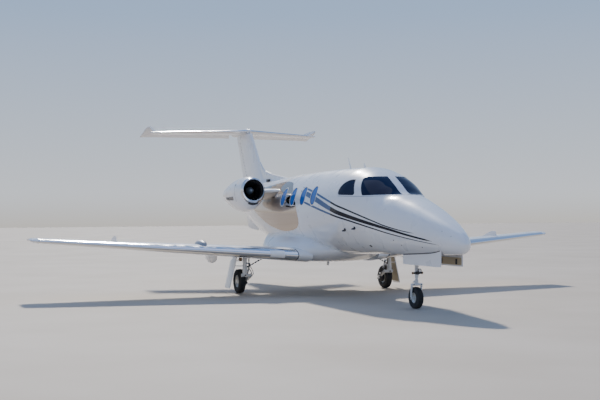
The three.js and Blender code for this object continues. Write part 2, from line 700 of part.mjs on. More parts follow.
function buildWing(word, side) {
  const whole = union(wingSkin(side), canoe(side));
  const drop = new THREE.Vector3(0, 0, -FLAP_AXIS_DROP);

  const flapEnds = FLAP_SPAN.map((y) => wingPoint(y, WING_HINGE, 0, side).add(drop));
  const frame = hingeFrame(...flapEnds, AFT);
  const mid = frame.length * (CANOE.y - FLAP_SPAN[0]) / (FLAP_SPAN[1] - FLAP_SPAN[0]);
  const behind = hingeBox(frame, [0, 0, -600], [frame.length, 900, 600]);
  const flap = union(
    cut(common(whole, behind), ...lugPlates.map(([from, to]) => hingeBar(
      frame, mid + from - PANEL_GAP, mid + to + HINGE_GAP, LUG_RADIUS + HINGE_GAP))),
    hingeBar(frame, mid - LUG_HALF, mid + LUG_HALF, LUG_RADIUS),
  );
  const { depth, half, rise } = CANOE_COVE;
  const flapHole = union(
    hingeBox(frame, [-HINGE_GAP, -FLAP_COVE, -600], [frame.length + HINGE_GAP, 900, 600]),
    hingeBox(frame, [mid - half, -depth, -rise], [mid + half, 900, rise]),
  );
  const lugs = lugPlates.flatMap(([from, to]) => [
    hingeBar(frame, mid + from, mid + to, LUG_RADIUS),
    hingeBox(frame, [mid + from, -FLAP_COVE - 60, -10], [mid + to, 0, 10]),
  ]);

  const aileronEnds = AILERON_SPAN.map((y) => wingPoint(y, WING_HINGE, 0, side));
  const radii = AILERON_SPAN.map((y) => {
    const row = rowAt(WING, y);
    return aerofoil(WING_HINGE, row[5], WING_CAMBER, row[2]).half * 0.98;
  });
  const { moving: aileron, fixed } = splitRound(whole, ...aileronEnds, radii, 600);

  const padPoint = wingPoint(2000, 0.45, -1, side);
  const pad = rod(new THREE.Vector3(padPoint.x, padPoint.y, padPoint.z + 40),
    new THREE.Vector3(padPoint.x, padPoint.y, padPoint.z - 12), 32, 24);

  const edgeSpan = [1022, 5990];
  const tipSpan = [6005, 6095];
  const edge = common(wingSkin(side), frontStrip(WING, edgeSpan, LEADING_EDGE_DEPTH, side, PANEL_GAP));
  const lamp = common(wingSkin(side), frontStrip(WING, tipSpan, 0.16, side, PANEL_GAP));
  const body = cut(
    fixed,
    flapHole,
    wheelWells(side),
    frontStrip(WING, edgeSpan, LEADING_EDGE_DEPTH, side, 0),
    frontStrip(WING, tipSpan, 0.16, side, 0),
  );
  add(`wing_${word}`, union(body, fence(side), pad, ...lugs), 'paint');
  add(`wing_leading_edge_${word}`, edge, 'polished');
  add(`flap_${word}`, flap, 'paint');
  add(`aileron_${word}`, aileron, 'paint');
  add(`nav_light_${word}`, lamp, 'lens');
}

function buildFairing() {
  const whole = skin(FAIRING.map((row) => row[0]), fairingAt, 0, FAIRING_SIDES);
  add('belly_fairing', cut(
    whole,
    fuselage(4000, 8000, -PANEL_GAP),
    wingSkin(1, PANEL_GAP),
    wingSkin(-1, PANEL_GAP),
    wheelWells(1),
    wheelWells(-1),
  ), 'composite');
}

// Tail

function finRing({ z, lead, trail }) {
  const chord = trail - lead;
  const half = (share) => aerofoil(share, FIN_THICK, 0, chord).half;
  const port = CHORD_STEPS.map((share) => [X(lead + share * chord), half(share), z]);
  const starboard = CHORD_STEPS.slice(0, -1).reverse().map((share) => [X(lead + share * chord), -half(share), z]);
  return [...port, ...starboard];
}

function finHalf(z, station) {
  const t = (z - FIN_ROOT.z) / (FIN_TOP.z - FIN_ROOT.z);
  const lead = FIN_ROOT.lead + t * (FIN_TOP.lead - FIN_ROOT.lead);
  const chord = FIN_ROOT.trail + t * (FIN_TOP.trail - FIN_ROOT.trail) - lead;
  return aerofoil((station - lead) / chord, FIN_THICK, 0, chord).half;
}

function buildFin() {
  const foil = loft([finRing(FIN_ROOT), finRing(FIN_TOP)]);
  const dorsal = plateAcross([
    [7820, 2480], [9010, 2690], [9560, 2800], [9900, 3040], [10300, 3040], [10300, 2300], [7820, 2300],
  ], -26, 26);
  const whole = cut(union(foil, dorsal), fuselage(7000, SPLIT.end, -PANEL_GAP));
  const from = place(RUDDER_LOW.station, 0, RUDDER_LOW.z);
  const to = place(RUDDER_HIGH.station, 0, RUDDER_HIGH.z);
  const radii = [RUDDER_LOW, RUDDER_HIGH].map(({ z, station }) => finHalf(z, station) * 0.98);
  const { moving, fixed } = splitRound(whole, from, to, radii, 900);
  add('fin', fixed, 'composite');
  add('rudder', moving, 'composite');
}

// An elevator is a round-nosed flap whose tip takes the whole chord, turned down by its droop
function splitHorn(whole, from, to, radii, droop) {
  const frame = hingeFrame(from, to, AFT);
  const [r0, r1] = radii;
  const reach = 3 * r0 + 60;
  const end = HORN_FROM * frame.length;
  const tip = (start) => loft([-reach, reach].map((height) => [
    [start, 900], [start, 0], [start + 900 * HORN_LEAN, -900], [end + 900, -900], [end + 900, 900],
  ].map(([along, aft]) => new THREE.Vector3(along, aft, height).applyMatrix4(frame.matrix).toArray())));
  const moving = common(whole, union(
    hingeBox(frame, [0, 0, -reach], [end, 700, reach]),
    hingeBar(frame, 0, end, r0, r1),
    tip(end),
  ));
  const fixed = cut(
    whole,
    hingeBox(frame, [-HINGE_GAP, 0, -reach], [end, 700, reach]),
    hingeBar(frame, -HINGE_GAP, end, r0 + HINGE_GAP, r1 + HINGE_GAP),
    tip(end - HINGE_GAP),
  );
  const pin = hingeBar(frame, PANEL_GAP - HINGE_GAP, 40, HINGE_PIN);
  const turn = new THREE.Matrix4().makeRotationX(THREE.MathUtils.degToRad(-droop));
  const inFrame = frame.matrix.clone().multiply(turn).multiply(frame.matrix.clone().invert());
  return { moving: union(moving, pin).transform(inFrame.elements), fixed };
}

function buildTailplane() {
  const mirrored = [...TAILPLANE].reverse().slice(0, -1);
  const rings = [
    ...mirrored.map((row) => foilRing(row, 0, -1)),
    ...TAILPLANE.map((row) => foilRing(row, 0, 1)),
  ];
  let whole = loft(rings);
  for (const [word, side] of SIDES) {
    const ends = ELEVATOR_SPAN.map((y) => vector(foilPoint(rowAt(TAILPLANE, y), 0, TAILPLANE_HINGE, 0, side)));
    const radii = ELEVATOR_SPAN.map((y) => {
      const row = rowAt(TAILPLANE, y);
      return aerofoil(TAILPLANE_HINGE, row[5], 0, row[2]).half * 0.98;
    });
    const { moving, fixed } = splitHorn(whole, ...ends, radii, side * ELEVATOR_DROOP);
    add(`elevator_${word}`, moving, 'composite');
    whole = fixed;
  }
  const bullet = turned([[0, 0], [42, 60], [80, 260], [94, 560], [90, 1050], [60, 1400], [0, 1600]], 12);
  const lying = bullet.rotate(0, 0, 90).translate(X(10680), 0, 3890);
  const body = cut(union(whole, lying), block([10000, 12900], [-400, 400], [3600, FIN_TOP.z + PANEL_GAP]));
  add('tailplane', body, 'composite');
}

// Engines

const LIP_DEPTH = 70;
// Cowl outside: distance aft of the lip, radius above and beside the axis, depth below it
const COWL = [
  [0, 243, 250],
  [20, 260, 276],
  [90, 285, 325],
  [300, 314, 425],
  [650, 322, 462],
  [1050, 303, 425],
  [1500, 258, 330],
  [1950, 196, 200],
];
// Duct: radius, distance aft of the lip
const DUCT = [
  [0, -10], [236, -10], [231, 14], [226, 90], [266, 300], [266, 430], [270, 700],
  [262, 1000], [262, 1200], [226, 1500], [178, 1950], [178, 1960], [0, 1960],
];
const ENGINE_SIDES = 20;

function onEngine(solid, side) {
  const { station, y, z, droop, toe } = ENGINE;
  return solid.rotate(0, 0, 90).rotate(0, -droop, 0).rotate(0, 0, side * toe).translate(X(station), side * y, z);
}

function cowlSolid(grow) {
  const ring = ([aft, radius, depth]) => Array.from({ length: ENGINE_SIDES }, (_, i) => {
    const turn = 2 * Math.PI * i / ENGINE_SIDES;
    const tall = Math.sin(turn) > 0 ? radius : depth;
    return [(radius + grow) * Math.cos(turn), aft, (tall + grow) * Math.sin(turn)];
  });
  return loft(COWL.map(ring));
}

function slab(from, to) {
  return turned([[0, from], [600, from], [600, to], [0, to]], 24);
}

const FAN_BLADES = 14;

function fan() {
  const hub = turned([
    [0, 185], [34, 205], [66, 260], [84, 340], [84, 396], [40, 396], [40, 404.6], [0, 404.6],
  ], 14);
  const blades = Array.from({ length: FAN_BLADES }, (_, i) => {
    const blade = new THREE.BoxGeometry(182, 5, 66);
    blade.rotateX(THREE.MathUtils.degToRad(48));
    blade.translate(166, 0, 0);
    blade.rotateY(2 * Math.PI * i / FAN_BLADES);
    blade.translate(0, 362, 0);
    return solidOf(blade);
  });
  return union(hub, ...blades);
}

const VANE_TIP = 260.4;

function core() {
  const body = turned([
    [0, 405], [150, 405], [200, 480], [200, 900], [175, 1250], [130, 1550], [50, 1760], [0, 1790],
  ], 12);
  const vanes = [0, 54, 90, 126].map((turn) => {
    const vane = new THREE.BoxGeometry(2 * VANE_TIP, 110, 12);
    vane.rotateY(THREE.MathUtils.degToRad(turn));
    vane.translate(0, 1100, 0);
    return solidOf(vane);
  });
  return union(body, ...vanes);
}

// Pylon: distance from the centreline, leading-edge station
const PYLON = [[480, 6500], [750, 6600], [950, 7300], [1060, 7450]];
const PYLON_TRAIL = 8650;
const PYLON_THICK = [0.05, 0.05, 0.075, 0.085];
const PYLON_Z = 2225;

function pylon(side) {
  const rings = PYLON.map(([y, lead], i) => {
    const chord = PYLON_TRAIL - lead;
    const half = (share) => aerofoil(share, PYLON_THICK[i], 0, chord).half;
    const point = (share, level) => [X(lead + share * chord), side * y, PYLON_Z + level * half(share)];
    const upper = CHORD_STEPS.map((share) => point(share, 1));
    const lower = CHORD_STEPS.slice(0, -1).reverse().map((share) => point(share, -1));
    return [...upper, ...lower];
  });
  return cut(loft(rings), fuselage(6300, 9000, -PANEL_GAP), onEngine(cowlSolid(PANEL_GAP), side));
}

function buildEngine(word, side) {
  const cowl = cut(cowlSolid(0), turned(DUCT, ENGINE_SIDES));
  add(`intake_lip_${word}`, onEngine(common(cowl, slab(-20, LIP_DEPTH - PANEL_GAP)), side), 'polished');
  add(`nacelle_${word}`, onEngine(common(cowl, slab(LIP_DEPTH, 2300)), side), 'paint');
  add(`fan_${word}`, onEngine(fan(), side), 'fan');
  add(`engine_core_${word}`, onEngine(core(), side), 'engine');
  add(`pylon_${word}`, pylon(side), 'paint');
}

// Landing gear

function tyre({ radius, width, bead, sides }) {
  const half = width / 2;
  const wall = radius - bead;
  const profile = [
    [bead, -0.7 * half], [bead + 0.3 * wall, -0.96 * half], [bead + 0.65 * wall, -0.98 * half],
    [radius - 0.06 * wall, -0.65 * half], [radius, -0.3 * half],
  ];
  const other = [...profile].reverse().map(([r, a]) => [r, -a]);
  return turned([...profile, ...other, profile[0]], sides);
}

function rim({ width, bead, bore, sides }) {
  const edge = 0.7 * width / 2;
  const outer = bead - 0.5;
  const hub = bore + 24;
  const profile = [
    [bore, -edge], [hub, -edge], [0.8 * bead, -0.3 * edge], [outer, -edge],
  ];
  const other = [...profile].reverse().map(([r, a]) => [r, -a]);
  return turned([...profile, ...other, profile[0]], sides);
}

const AXLE_CLEARANCE = 0.8;

function buildWheel(word, wheel, y) {
  const hub = [X(wheel.station), y, wheel.radius];
  add(`${word}_tyre`, tyre(wheel).translate(...hub), 'rubber');
  add(`${word}_rim`, rim(wheel).translate(...hub), 'wheel');
}

const STEER_STATION = 1720;
const STEER_SPLIT = 560;
const DOOR_PLATE_Y = 210;

function buildNoseGear() {
  const trunnion = BAY_HALF - PANEL_GAP;
  const leg = union(
    rod(place(STEER_STATION, 0, BAY_ROOF - PANEL_GAP), place(STEER_STATION, 0, STEER_SPLIT), 40, 20),
    rod(place(STEER_STATION, -trunnion, 1010), place(STEER_STATION, trunnion, 1010), 24, 12),
    rod(place(STEER_STATION, 0, 740), place(1400, 0, BAY_ROOF - 24), 18, 12),
    rod(place(STEER_STATION, 0, 690), place(1625, 0, 690), 14, 10),
    rod(place(1650, 0, 690), place(1600, 0, 690), 34, 20, 58),
  );
  add('nose_gear_leg', leg, 'gear');

  const { station, radius, bore, width } = NOSE_WHEEL;
  const armY = width / 2 + 32;
  const pin = bore - AXLE_CLEARANCE;
  const arms = [-1, 1].map((side) => rod(
    place(STEER_STATION, side * armY, radius + 232), place(station, side * armY, radius), 24, 4));
  const fork = union(
    rod(place(STEER_STATION, 0, STEER_SPLIT - PANEL_GAP), place(STEER_STATION, 0, 440), 28, 16),
    block([STEER_STATION - 45, STEER_STATION + 45], [-armY - 16, armY + 16], [412, 456]),
    ...arms,
    rod(place(station, -armY - 10, radius), place(station, armY + 10, radius), pin, 16),
  );
  add('nose_gear_fork', fork, 'gear');
  buildWheel('nose', NOSE_WHEEL, 0);

  for (const [word, side] of SIDES) {
    const plate = block([500, 1830], [side * (DOOR_PLATE_Y - 8), side * (DOOR_PLATE_Y + 8)], [800, 1150]);
    add(`nose_gear_door_${word}`, cut(plate, fuselage(400, 2000, -PANEL_GAP)), 'paint');
  }
}

// The leg's strut stands ahead of the wheel, and a trailing arm runs along the wheel's inner side
const LEG = { station: 6135, y: 1725, radius: 44, foot: 400 };
const ARM = { y: 1622, radius: 28, knee: 34 };
const SHOCK = { top: 650, station: 6290, z: 330, radius: 16 };
const ARM_BEND = 1880;      // where the door's arms turn aft
const DOOR_PLATE = { top: 800, bottom: 120, y: 1880, lean: 160 };

function buildMainGear(word, side) {
  const at = (station, y, z) => place(station, side * y, z);
  const { station, radius, bore } = MAIN_WHEEL;
  const inner = MAIN_WHEEL_Y - MAIN_WHEEL.width / 2;
  const leg = union(
    rod(at(LEG.station, LEG.y, LEG_SLOT.roof - PANEL_GAP), at(LEG.station, LEG.y, LEG.foot), LEG.radius, 20),
    rod(at(LEG.station, ARM.y - ARM.knee, LEG.foot), at(LEG.station, LEG.y + 75, LEG.foot), ARM.knee, 14),
    rod(at(LEG.station, ARM.y, LEG.foot), at(station, ARM.y, radius), ARM.radius, 14),
    rod(at(LEG.station, LEG.y, SHOCK.top), at(LEG.station, ARM.y, SHOCK.top), SHOCK.radius, 10),
    rod(at(LEG.station, ARM.y, SHOCK.top), at(SHOCK.station, ARM.y, SHOCK.z), SHOCK.radius, 10),
    rod(at(LEG.station, LEG.y - 20, 560), at(LEG.station - 40, 1150, LEG_SLOT.roof - 18), 15, 10),
    rod(at(station, ARM.y - 30, radius), at(station, inner + 15, radius), 60, 20),
    rod(at(station, ARM.y, radius), at(station, MAIN_WHEEL_Y + 60, radius), bore - AXLE_CLEARANCE, 20),
  );
  add(`main_gear_leg_${word}`, leg, 'gear');
  buildWheel(`main_${word}`, MAIN_WHEEL, side * MAIN_WHEEL_Y);

  const { top, bottom, y, lean } = DOOR_PLATE;
  const plateY = (z) => y + lean * (top - z) / (top - bottom);
  const ring = (z, front, back) => [[front, -9], [back, -9], [back, 9], [front, 9]].map(
    ([s, out]) => [X(s), side * (plateY(z) + out), z]);
  const plate = loft([ring(top, 6190, 6385), ring(690, 6195, 6560), ring(bottom, 6215, 6560)]);
  const arms = [600, 710].flatMap((z) => [
    rod(at(LEG.station, LEG.y + LEG.radius + PANEL_GAP, z), at(LEG.station, ARM_BEND, z), 12, 10),
    rod(at(LEG.station, ARM_BEND - 12, z), at(LEG.station + 100, plateY(z), z), 12, 10),
  ]);
  add(`main_gear_door_${word}`, union(plate, ...arms), 'paint');
}

buildNose();
buildCockpit();
buildCabin();
buildAft();
buildGlass();
buildInterior();
buildFairing();
buildFin();
buildTailplane();
buildNoseGear();
for (const [word, side] of SIDES) {
  buildWing(word, side);
  buildEngine(word, side);
  buildMainGear(word, side);
}

export default jet;
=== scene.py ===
"""Looks of the parked light business jet: fine skins, glass, stripes, gear and cabin, in metres.

Lengthwise places are stations, measured aft from the nose tip; x = NOSE_X - station.
"""
import json
import math

import bmesh
import bpy
import numpy as np
from mathutils import Matrix, Vector


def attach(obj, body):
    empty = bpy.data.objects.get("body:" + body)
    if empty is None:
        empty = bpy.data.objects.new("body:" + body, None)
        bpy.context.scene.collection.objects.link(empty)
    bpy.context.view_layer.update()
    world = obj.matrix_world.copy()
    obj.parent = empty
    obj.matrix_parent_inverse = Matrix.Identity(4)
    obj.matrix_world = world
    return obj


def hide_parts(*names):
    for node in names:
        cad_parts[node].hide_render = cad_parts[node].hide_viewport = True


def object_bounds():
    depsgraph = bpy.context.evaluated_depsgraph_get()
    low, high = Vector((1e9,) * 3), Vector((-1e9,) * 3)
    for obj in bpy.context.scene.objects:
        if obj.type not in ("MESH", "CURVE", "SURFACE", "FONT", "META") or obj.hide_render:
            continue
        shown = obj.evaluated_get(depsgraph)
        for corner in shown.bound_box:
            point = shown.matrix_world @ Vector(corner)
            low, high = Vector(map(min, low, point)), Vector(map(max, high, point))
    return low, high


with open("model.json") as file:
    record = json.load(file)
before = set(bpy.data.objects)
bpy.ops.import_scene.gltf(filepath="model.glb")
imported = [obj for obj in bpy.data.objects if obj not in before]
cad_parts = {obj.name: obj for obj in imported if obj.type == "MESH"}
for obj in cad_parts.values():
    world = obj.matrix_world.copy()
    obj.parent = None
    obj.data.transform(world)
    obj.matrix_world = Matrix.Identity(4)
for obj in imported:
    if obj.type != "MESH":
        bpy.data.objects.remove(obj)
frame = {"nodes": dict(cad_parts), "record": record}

CAD_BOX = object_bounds()
NOSE_X = CAD_BOX[1][0]
SIDES = (("left", 1), ("right", -1))


# Camera, light and floor

CAMERA_AT = Vector((20.21, -8.53, 1.70))
CAMERA_YAW, CAMERA_PITCH, CAMERA_ROLL = (math.radians(a) for a in (157.93, 0.815, -0.282))
CAMERA_LENS = 59.1


def set_camera():
    ahead = Vector((math.cos(CAMERA_PITCH) * math.cos(CAMERA_YAW),
                    math.cos(CAMERA_PITCH) * math.sin(CAMERA_YAW), math.sin(CAMERA_PITCH)))
    level = ahead.cross(Vector((0, 0, 1))).normalized()
    up = level.cross(ahead)
    right = level * math.cos(CAMERA_ROLL) + up * math.sin(CAMERA_ROLL)
    up = up * math.cos(CAMERA_ROLL) - level * math.sin(CAMERA_ROLL)
    data = bpy.data.cameras.new("camera")
    data.lens = CAMERA_LENS
    data.sensor_width = 36
    data.clip_end = 500
    camera = bpy.data.objects.new("camera", data)
    camera.matrix_world = Matrix((right, up, -ahead)).transposed().to_4x4()
    camera.matrix_world.translation = CAMERA_AT
    bpy.context.scene.collection.objects.link(camera)
    bpy.context.scene.camera = camera


def area_light(name, place, aim, size, power, colour):
    data = bpy.data.lights.new(name, "AREA")
    data.shape = "RECTANGLE"
    data.size, data.size_y = size
    data.energy = power
    data.color = colour
    light = bpy.data.objects.new(name, data)
    place = Vector(place)
    light.matrix_world = (Vector(aim) - place).to_track_quat("-Z", "Y").to_matrix().to_4x4()
    light.matrix_world.translation = place
    bpy.context.scene.collection.objects.link(light)


def sun_light(name, direction, strength, spread, colour):
    data = bpy.data.lights.new(name, "SUN")
    data.energy = strength
    data.angle = math.radians(spread)
    data.color = colour
    light = bpy.data.objects.new(name, data)
    light.matrix_world = Vector(direction).to_track_quat("-Z", "Y").to_matrix().to_4x4()
    bpy.context.scene.collection.objects.link(light)


def set_world():
    world = bpy.data.worlds.new("studio")
    bpy.context.scene.world = world
    world.use_nodes = True
    nodes, links = world.node_tree.nodes, world.node_tree.links
    coords = nodes.new("ShaderNodeTexCoord")
    split = nodes.new("ShaderNodeSeparateXYZ")
    ramp = nodes.new("ShaderNodeValToRGB")
    stops = ((0.0, (0.52, 0.46, 0.39, 1)), (0.49, (0.74, 0.69, 0.62, 1)), (0.51, (0.84, 0.88, 0.94, 1)),
             (0.60, (0.45, 0.62, 0.90, 1)), (1.0, (0.10, 0.25, 0.66, 1)))
    ramp.color_ramp.elements[0].position, ramp.color_ramp.elements[0].color = stops[0]
    ramp.color_ramp.elements[1].position, ramp.color_ramp.elements[1].color = stops[-1]
    for position, colour in stops[1:-1]:
        ramp.color_ramp.elements.new(position).color = colour
    half = nodes.new("ShaderNodeMapRange")
    half.inputs["From Min"].default_value = -1
    links.new(coords.outputs["Generated"], split.inputs[0])
    links.new(split.outputs["Z"], half.inputs["Value"])
    links.new(half.outputs[0], ramp.inputs[0])
    back = nodes["Background"]
    back.inputs["Strength"].default_value = 0.9
    links.new(ramp.outputs[0], back.inputs["Color"])


# Materials

NOISE_DETAIL = 3
NOISE_RANGE = (0.35, 0.65)          # the noise texture's values lie mostly in here


def shader(name, colour, roughness, metallic=0.0, **sockets):
    material = bpy.data.materials.new(name)
    material.use_nodes = True
    bsdf = material.node_tree.nodes["Principled BSDF"]
    bsdf.inputs["Base Color"].default_value = (*colour, 1)
    bsdf.inputs["Roughness"].default_value = roughness
    bsdf.inputs["Metallic"].default_value = metallic
    for socket, value in sockets.items():
        bsdf.inputs[socket.replace("_", " ").title()].default_value = value
    return material


def noise(material, scale, stretch=(1, 1, 1)):
    nodes, links = material.node_tree.nodes, material.node_tree.links
    coords = nodes.new("ShaderNodeTexCoord")
    mapping = nodes.new("ShaderNodeMapping")
    mapping.inputs["Scale"].default_value = stretch
    texture = nodes.new("ShaderNodeTexNoise")
    texture.inputs["Scale"].default_value = scale
    texture.inputs["Detail"].default_value = NOISE_DETAIL
    links.new(coords.outputs["Object"], mapping.inputs[0])
    links.new(mapping.outputs[0], texture.inputs["Vector"])
    return texture


def vary_colour(material, low, high, scale, stretch=(1, 1, 1)):
    nodes, links = material.node_tree.nodes, material.node_tree.links
    texture = noise(material, scale, stretch=stretch)
    ramp = nodes.new("ShaderNodeValToRGB")
    ramp.color_ramp.elements[0].position, ramp.color_ramp.elements[1].position = NOISE_RANGE
    ramp.color_ramp.elements[0].color = (*low, 1)
    ramp.color_ramp.elements[1].color = (*high, 1)
    links.new(texture.outputs["Fac"], ramp.inputs[0])
    links.new(ramp.outputs[0], nodes["Principled BSDF"].inputs["Base Color"])


def vary_roughness(material, low, high, scale):
    nodes, links = material.node_tree.nodes, material.node_tree.links
    texture = noise(material, scale)
    spread = nodes.new("ShaderNodeMapRange")
    spread.inputs["From Min"].default_value, spread.inputs["From Max"].default_value = NOISE_RANGE
    spread.inputs["To Min"].default_value = low
    spread.inputs["To Max"].default_value = high
    links.new(texture.outputs["Fac"], spread.inputs["Value"])
    links.new(spread.outputs[0], nodes["Principled BSDF"].inputs["Roughness"])


def bump(material, scale, strength, depth):
    nodes, links = material.node_tree.nodes, material.node_tree.links
    texture = noise(material, scale)
    relief = nodes.new("ShaderNodeBump")
    relief.inputs["Strength"].default_value = strength
    relief.inputs["Distance"].default_value = depth
    links.new(texture.outputs["Fac"], relief.inputs["Height"])
    links.new(relief.outputs[0], nodes["Principled BSDF"].inputs["Normal"])


def white_paint(name, low, high):
    material = shader(name, high, 0.3, coat_weight=1.0, coat_roughness=0.04)
    vary_colour(material, low, high, 0.9, (0.5, 1, 1.6))
    vary_roughness(material, 0.26, 0.36, 2.5)
    bump(material, 260, 0.02, 0.002)
    return material


def make_materials():
    made = {
        "paint": white_paint("white_paint", (0.80, 0.81, 0.84), (0.86, 0.87, 0.89)),
        "lining": shader("cabin_lining", (0.66, 0.61, 0.52), 0.7),
        "bay": shader("bay_primer", (0.60, 0.61, 0.58), 0.55),
        "polished": shader("polished_metal", (0.80, 0.81, 0.83), 0.12, 1.0),
        # The mirror band is a real dark glossy band; its warm brown metal tint is a painted reflection of
        # dark ground.
        "mirror": shader("mirror_band", (0.50, 0.43, 0.37), 0.04, 1.0),
        # The windscreen's near-black navy is a painted reflection of the dark sky and painted shade of the
        # cockpit behind, on opaque glass.
        "screen": shader("windscreen_glass_painted_shade_and_reflection", (0.003, 0.006, 0.030), 0.03),
        # The cabin windows' blue is a painted reflection of the sky, on opaque glass.
        "pane": shader("cabin_pane_painted_sky_reflection", (0.02, 0.13, 0.46), 0.05),
        "seal": shader("window_seal", (0.03, 0.03, 0.04), 0.5),
        "seam": shader("panel_seam", (0.20, 0.20, 0.22), 0.6),
        "stripe_dark": shader("stripe_dark", (0.012, 0.012, 0.018), 0.3),
        "stripe_blue": shader("stripe_blue", (0.06, 0.12, 0.26), 0.3),
        "rubber": shader("tyre_rubber", (0.022, 0.022, 0.024), 0.8),
        "rim": shader("rim_alloy", (0.66, 0.66, 0.63), 0.35, 0.7),
        "steel": shader("bright_steel", (0.70, 0.71, 0.73), 0.2, 1.0),
        "gear": shader("gear_enamel", (0.78, 0.79, 0.80), 0.35, coat_weight=0.4),
        "black": shader("black_fitting", (0.03, 0.03, 0.035), 0.5),
        "hose": shader("brake_hose", (0.05, 0.05, 0.055), 0.6),
        "fan": shader("fan_titanium", (0.10, 0.105, 0.115), 0.32, 0.9),
        "spinner": shader("spinner", (0.30, 0.36, 0.42), 0.3, 0.6),
        "duct": shader("duct_metal", (0.36, 0.37, 0.39), 0.35, 0.8),
        "hot": shader("hot_section", (0.24, 0.20, 0.17), 0.45, 0.9),
        "leather": shader("seat_leather", (0.52, 0.44, 0.33), 0.5),
        "carpet": shader("carpet", (0.20, 0.17, 0.14), 0.95),
        "panel": shader("panel_plastic", (0.03, 0.032, 0.036), 0.55),
        "display": shader("display_glass", (0.012, 0.02, 0.04), 0.08, coat_weight=1.0),
        "lens": shader("clear_lens", (0.85, 0.88, 0.92), 0.04, coat_weight=1.0),
        # Slate grey of painted shade: the wing bump's shaded side and the crease under the windscreen.
        "boot": shader("grey_painted_shade", (0.30, 0.32, 0.36), 0.4),
        "lamp_glass": shader("lamp_glass", (0.95, 0.96, 0.98), 0.08, coat_weight=1.0),
        "bronze": shader("bronze_bracket", (0.22, 0.13, 0.06), 0.45, 0.3),
        # The gear doors' inner faces: brown sheets of painted shade with warm ground bounce.
        "door_inner": shader("gear_door_inside_shade", (0.50, 0.42, 0.28), 0.5),
        # Louver slots: dark brown patches of painted shade where the cowl's slot openings lie.
        "louver": shader("louver_slot_shade", (0.07, 0.05, 0.03), 0.6),
    }
    for name, level in (("screen", 0.22), ("pane", 0.3), ("stripe_dark", 0.2), ("stripe_blue", 0.25)):
        made[name].node_tree.nodes["Principled BSDF"].inputs["Specular IOR Level"].default_value = level
    vary_roughness(made["polished"], 0.08, 0.18, 6)
    vary_colour(made["rubber"], (0.018, 0.018, 0.02), (0.034, 0.033, 0.033), 14)
    bump(made["rubber"], 120, 0.25, 0.002)
    vary_roughness(made["rim"], 0.28, 0.45, 20)
    vary_colour(made["gear"], (0.70, 0.71, 0.72), (0.80, 0.81, 0.82), 9)
    bump(made["leather"], 220, 0.35, 0.002)
    vary_colour(made["leather"], (0.47, 0.39, 0.29), (0.56, 0.48, 0.37), 5)
    bump(made["carpet"], 700, 0.8, 0.004)
    vary_colour(made["hot"], (0.20, 0.16, 0.13), (0.32, 0.27, 0.22), 12)
    vary_colour(made["duct"], (0.30, 0.31, 0.33), (0.42, 0.43, 0.45), 7)
    vary_colour(made["lining"], (0.62, 0.57, 0.48), (0.70, 0.65, 0.56), 4)
    return made


MAT = make_materials()


# Mesh helpers

SAME_POINT = 1e-6
CARVED_CREASE = 30                  # degrees between faces from which an edge stays sharp


def new_piece(name, verts, faces, material, body=None, smooth=35):
    mesh = bpy.data.meshes.new(name)
    mesh.from_pydata([tuple(v) for v in verts], [], faces)
    bm = bmesh.new()
    bm.from_mesh(mesh)
    bmesh.ops.remove_doubles(bm, verts=bm.verts, dist=SAME_POINT)
    bmesh.ops.recalc_face_normals(bm, faces=bm.faces)
    bm.to_mesh(mesh)
    bm.free()
    mesh.shade_smooth()
    mesh.set_sharp_from_angle(angle=math.radians(smooth))
    piece = bpy.data.objects.new(name, mesh)
    bpy.context.scene.collection.objects.link(piece)
    if material:
        mesh.materials.append(MAT[material])
    if body:
        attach(piece, body)
    return piece


def loft(rings, caps=True):
    """Vertices and faces of a closed skin through rings of equal point counts."""
    count = len(rings[0])
    verts = [tuple(p) for ring in rings for p in ring]
    faces = []
    for r in range(len(rings) - 1):
        for i in range(count):
            a, b = r * count + i, r * count + (i + 1) % count
            faces.append((a, b, b + count, a + count))
    if caps:
        last = (len(rings) - 1) * count
        faces.append(tuple(range(count))[::-1])
        faces.append(tuple(range(last, last + count)))
    return verts, faces


def at(station, y, z):
    """A point from its station aft of the nose tip, y and height."""
    return Vector((NOSE_X - station, y, z))


def circle(sides):
    """Angles all the way round."""
    return [2 * math.pi * i / sides for i in range(sides)]


def round_ring(centre, side, up, radius, sides):
    return [centre + (side * math.cos(t) + up * math.sin(t)) * radius for t in circle(sides)]


def prism(points, low, high):
    """A closed prism across the jet on an outline of [station, z] points."""
    return loft([[(NOSE_X - station, y, z) for station, z in points] for y in (low, high)])


def merged(parts):
    """Several (verts, faces) as one."""
    verts, faces = [], []
    for part_verts, part_faces in parts:
        start = len(verts)
        verts.extend(part_verts)
        faces.extend(tuple(i + start for i in face) for face in part_faces)
    return verts, faces


def carve(piece, tools, operation="DIFFERENCE"):
    """Cuts the piece with each tool, a (verts, faces) solid."""
    cutters = [new_piece("cutter", *tool, None) for tool in tools]
    for cutter in cutters:
        step = piece.modifiers.new("carve", "BOOLEAN")
        step.operation = operation
        step.solver = "EXACT"
        step.object = cutter
    ready = piece.evaluated_get(bpy.context.evaluated_depsgraph_get())
    mesh = bpy.data.meshes.new_from_object(ready)
    piece.modifiers.clear()
    old = piece.data
    piece.data = mesh
    bpy.data.meshes.remove(old)
    for cutter in cutters:
        remove(cutter)
    piece.data.shade_smooth()
    piece.data.set_sharp_from_angle(angle=math.radians(CARVED_CREASE))


def remove(piece):
    """Takes away a piece and its mesh."""
    data = piece.data
    bpy.data.objects.remove(piece)
    bpy.data.meshes.remove(data)


def rounded(points, radius, steps=6):
    """An outline with its corners turned into arcs."""
    corners = [Vector(p) for p in points]
    outline = []
    for i, corner in enumerate(corners):
        before = (corners[i - 1] - corner)
        after = (corners[(i + 1) % len(corners)] - corner)
        reach = min(radius, 0.45 * before.length, 0.45 * after.length)
        start = corner + before.normalized() * reach
        end = corner + after.normalized() * reach
        for k in range(steps + 1):
            t = k / steps
            outline.append(start * (1 - t) ** 2 + corner * 2 * t * (1 - t) + end * t ** 2)
    return [tuple(p) for p in outline]


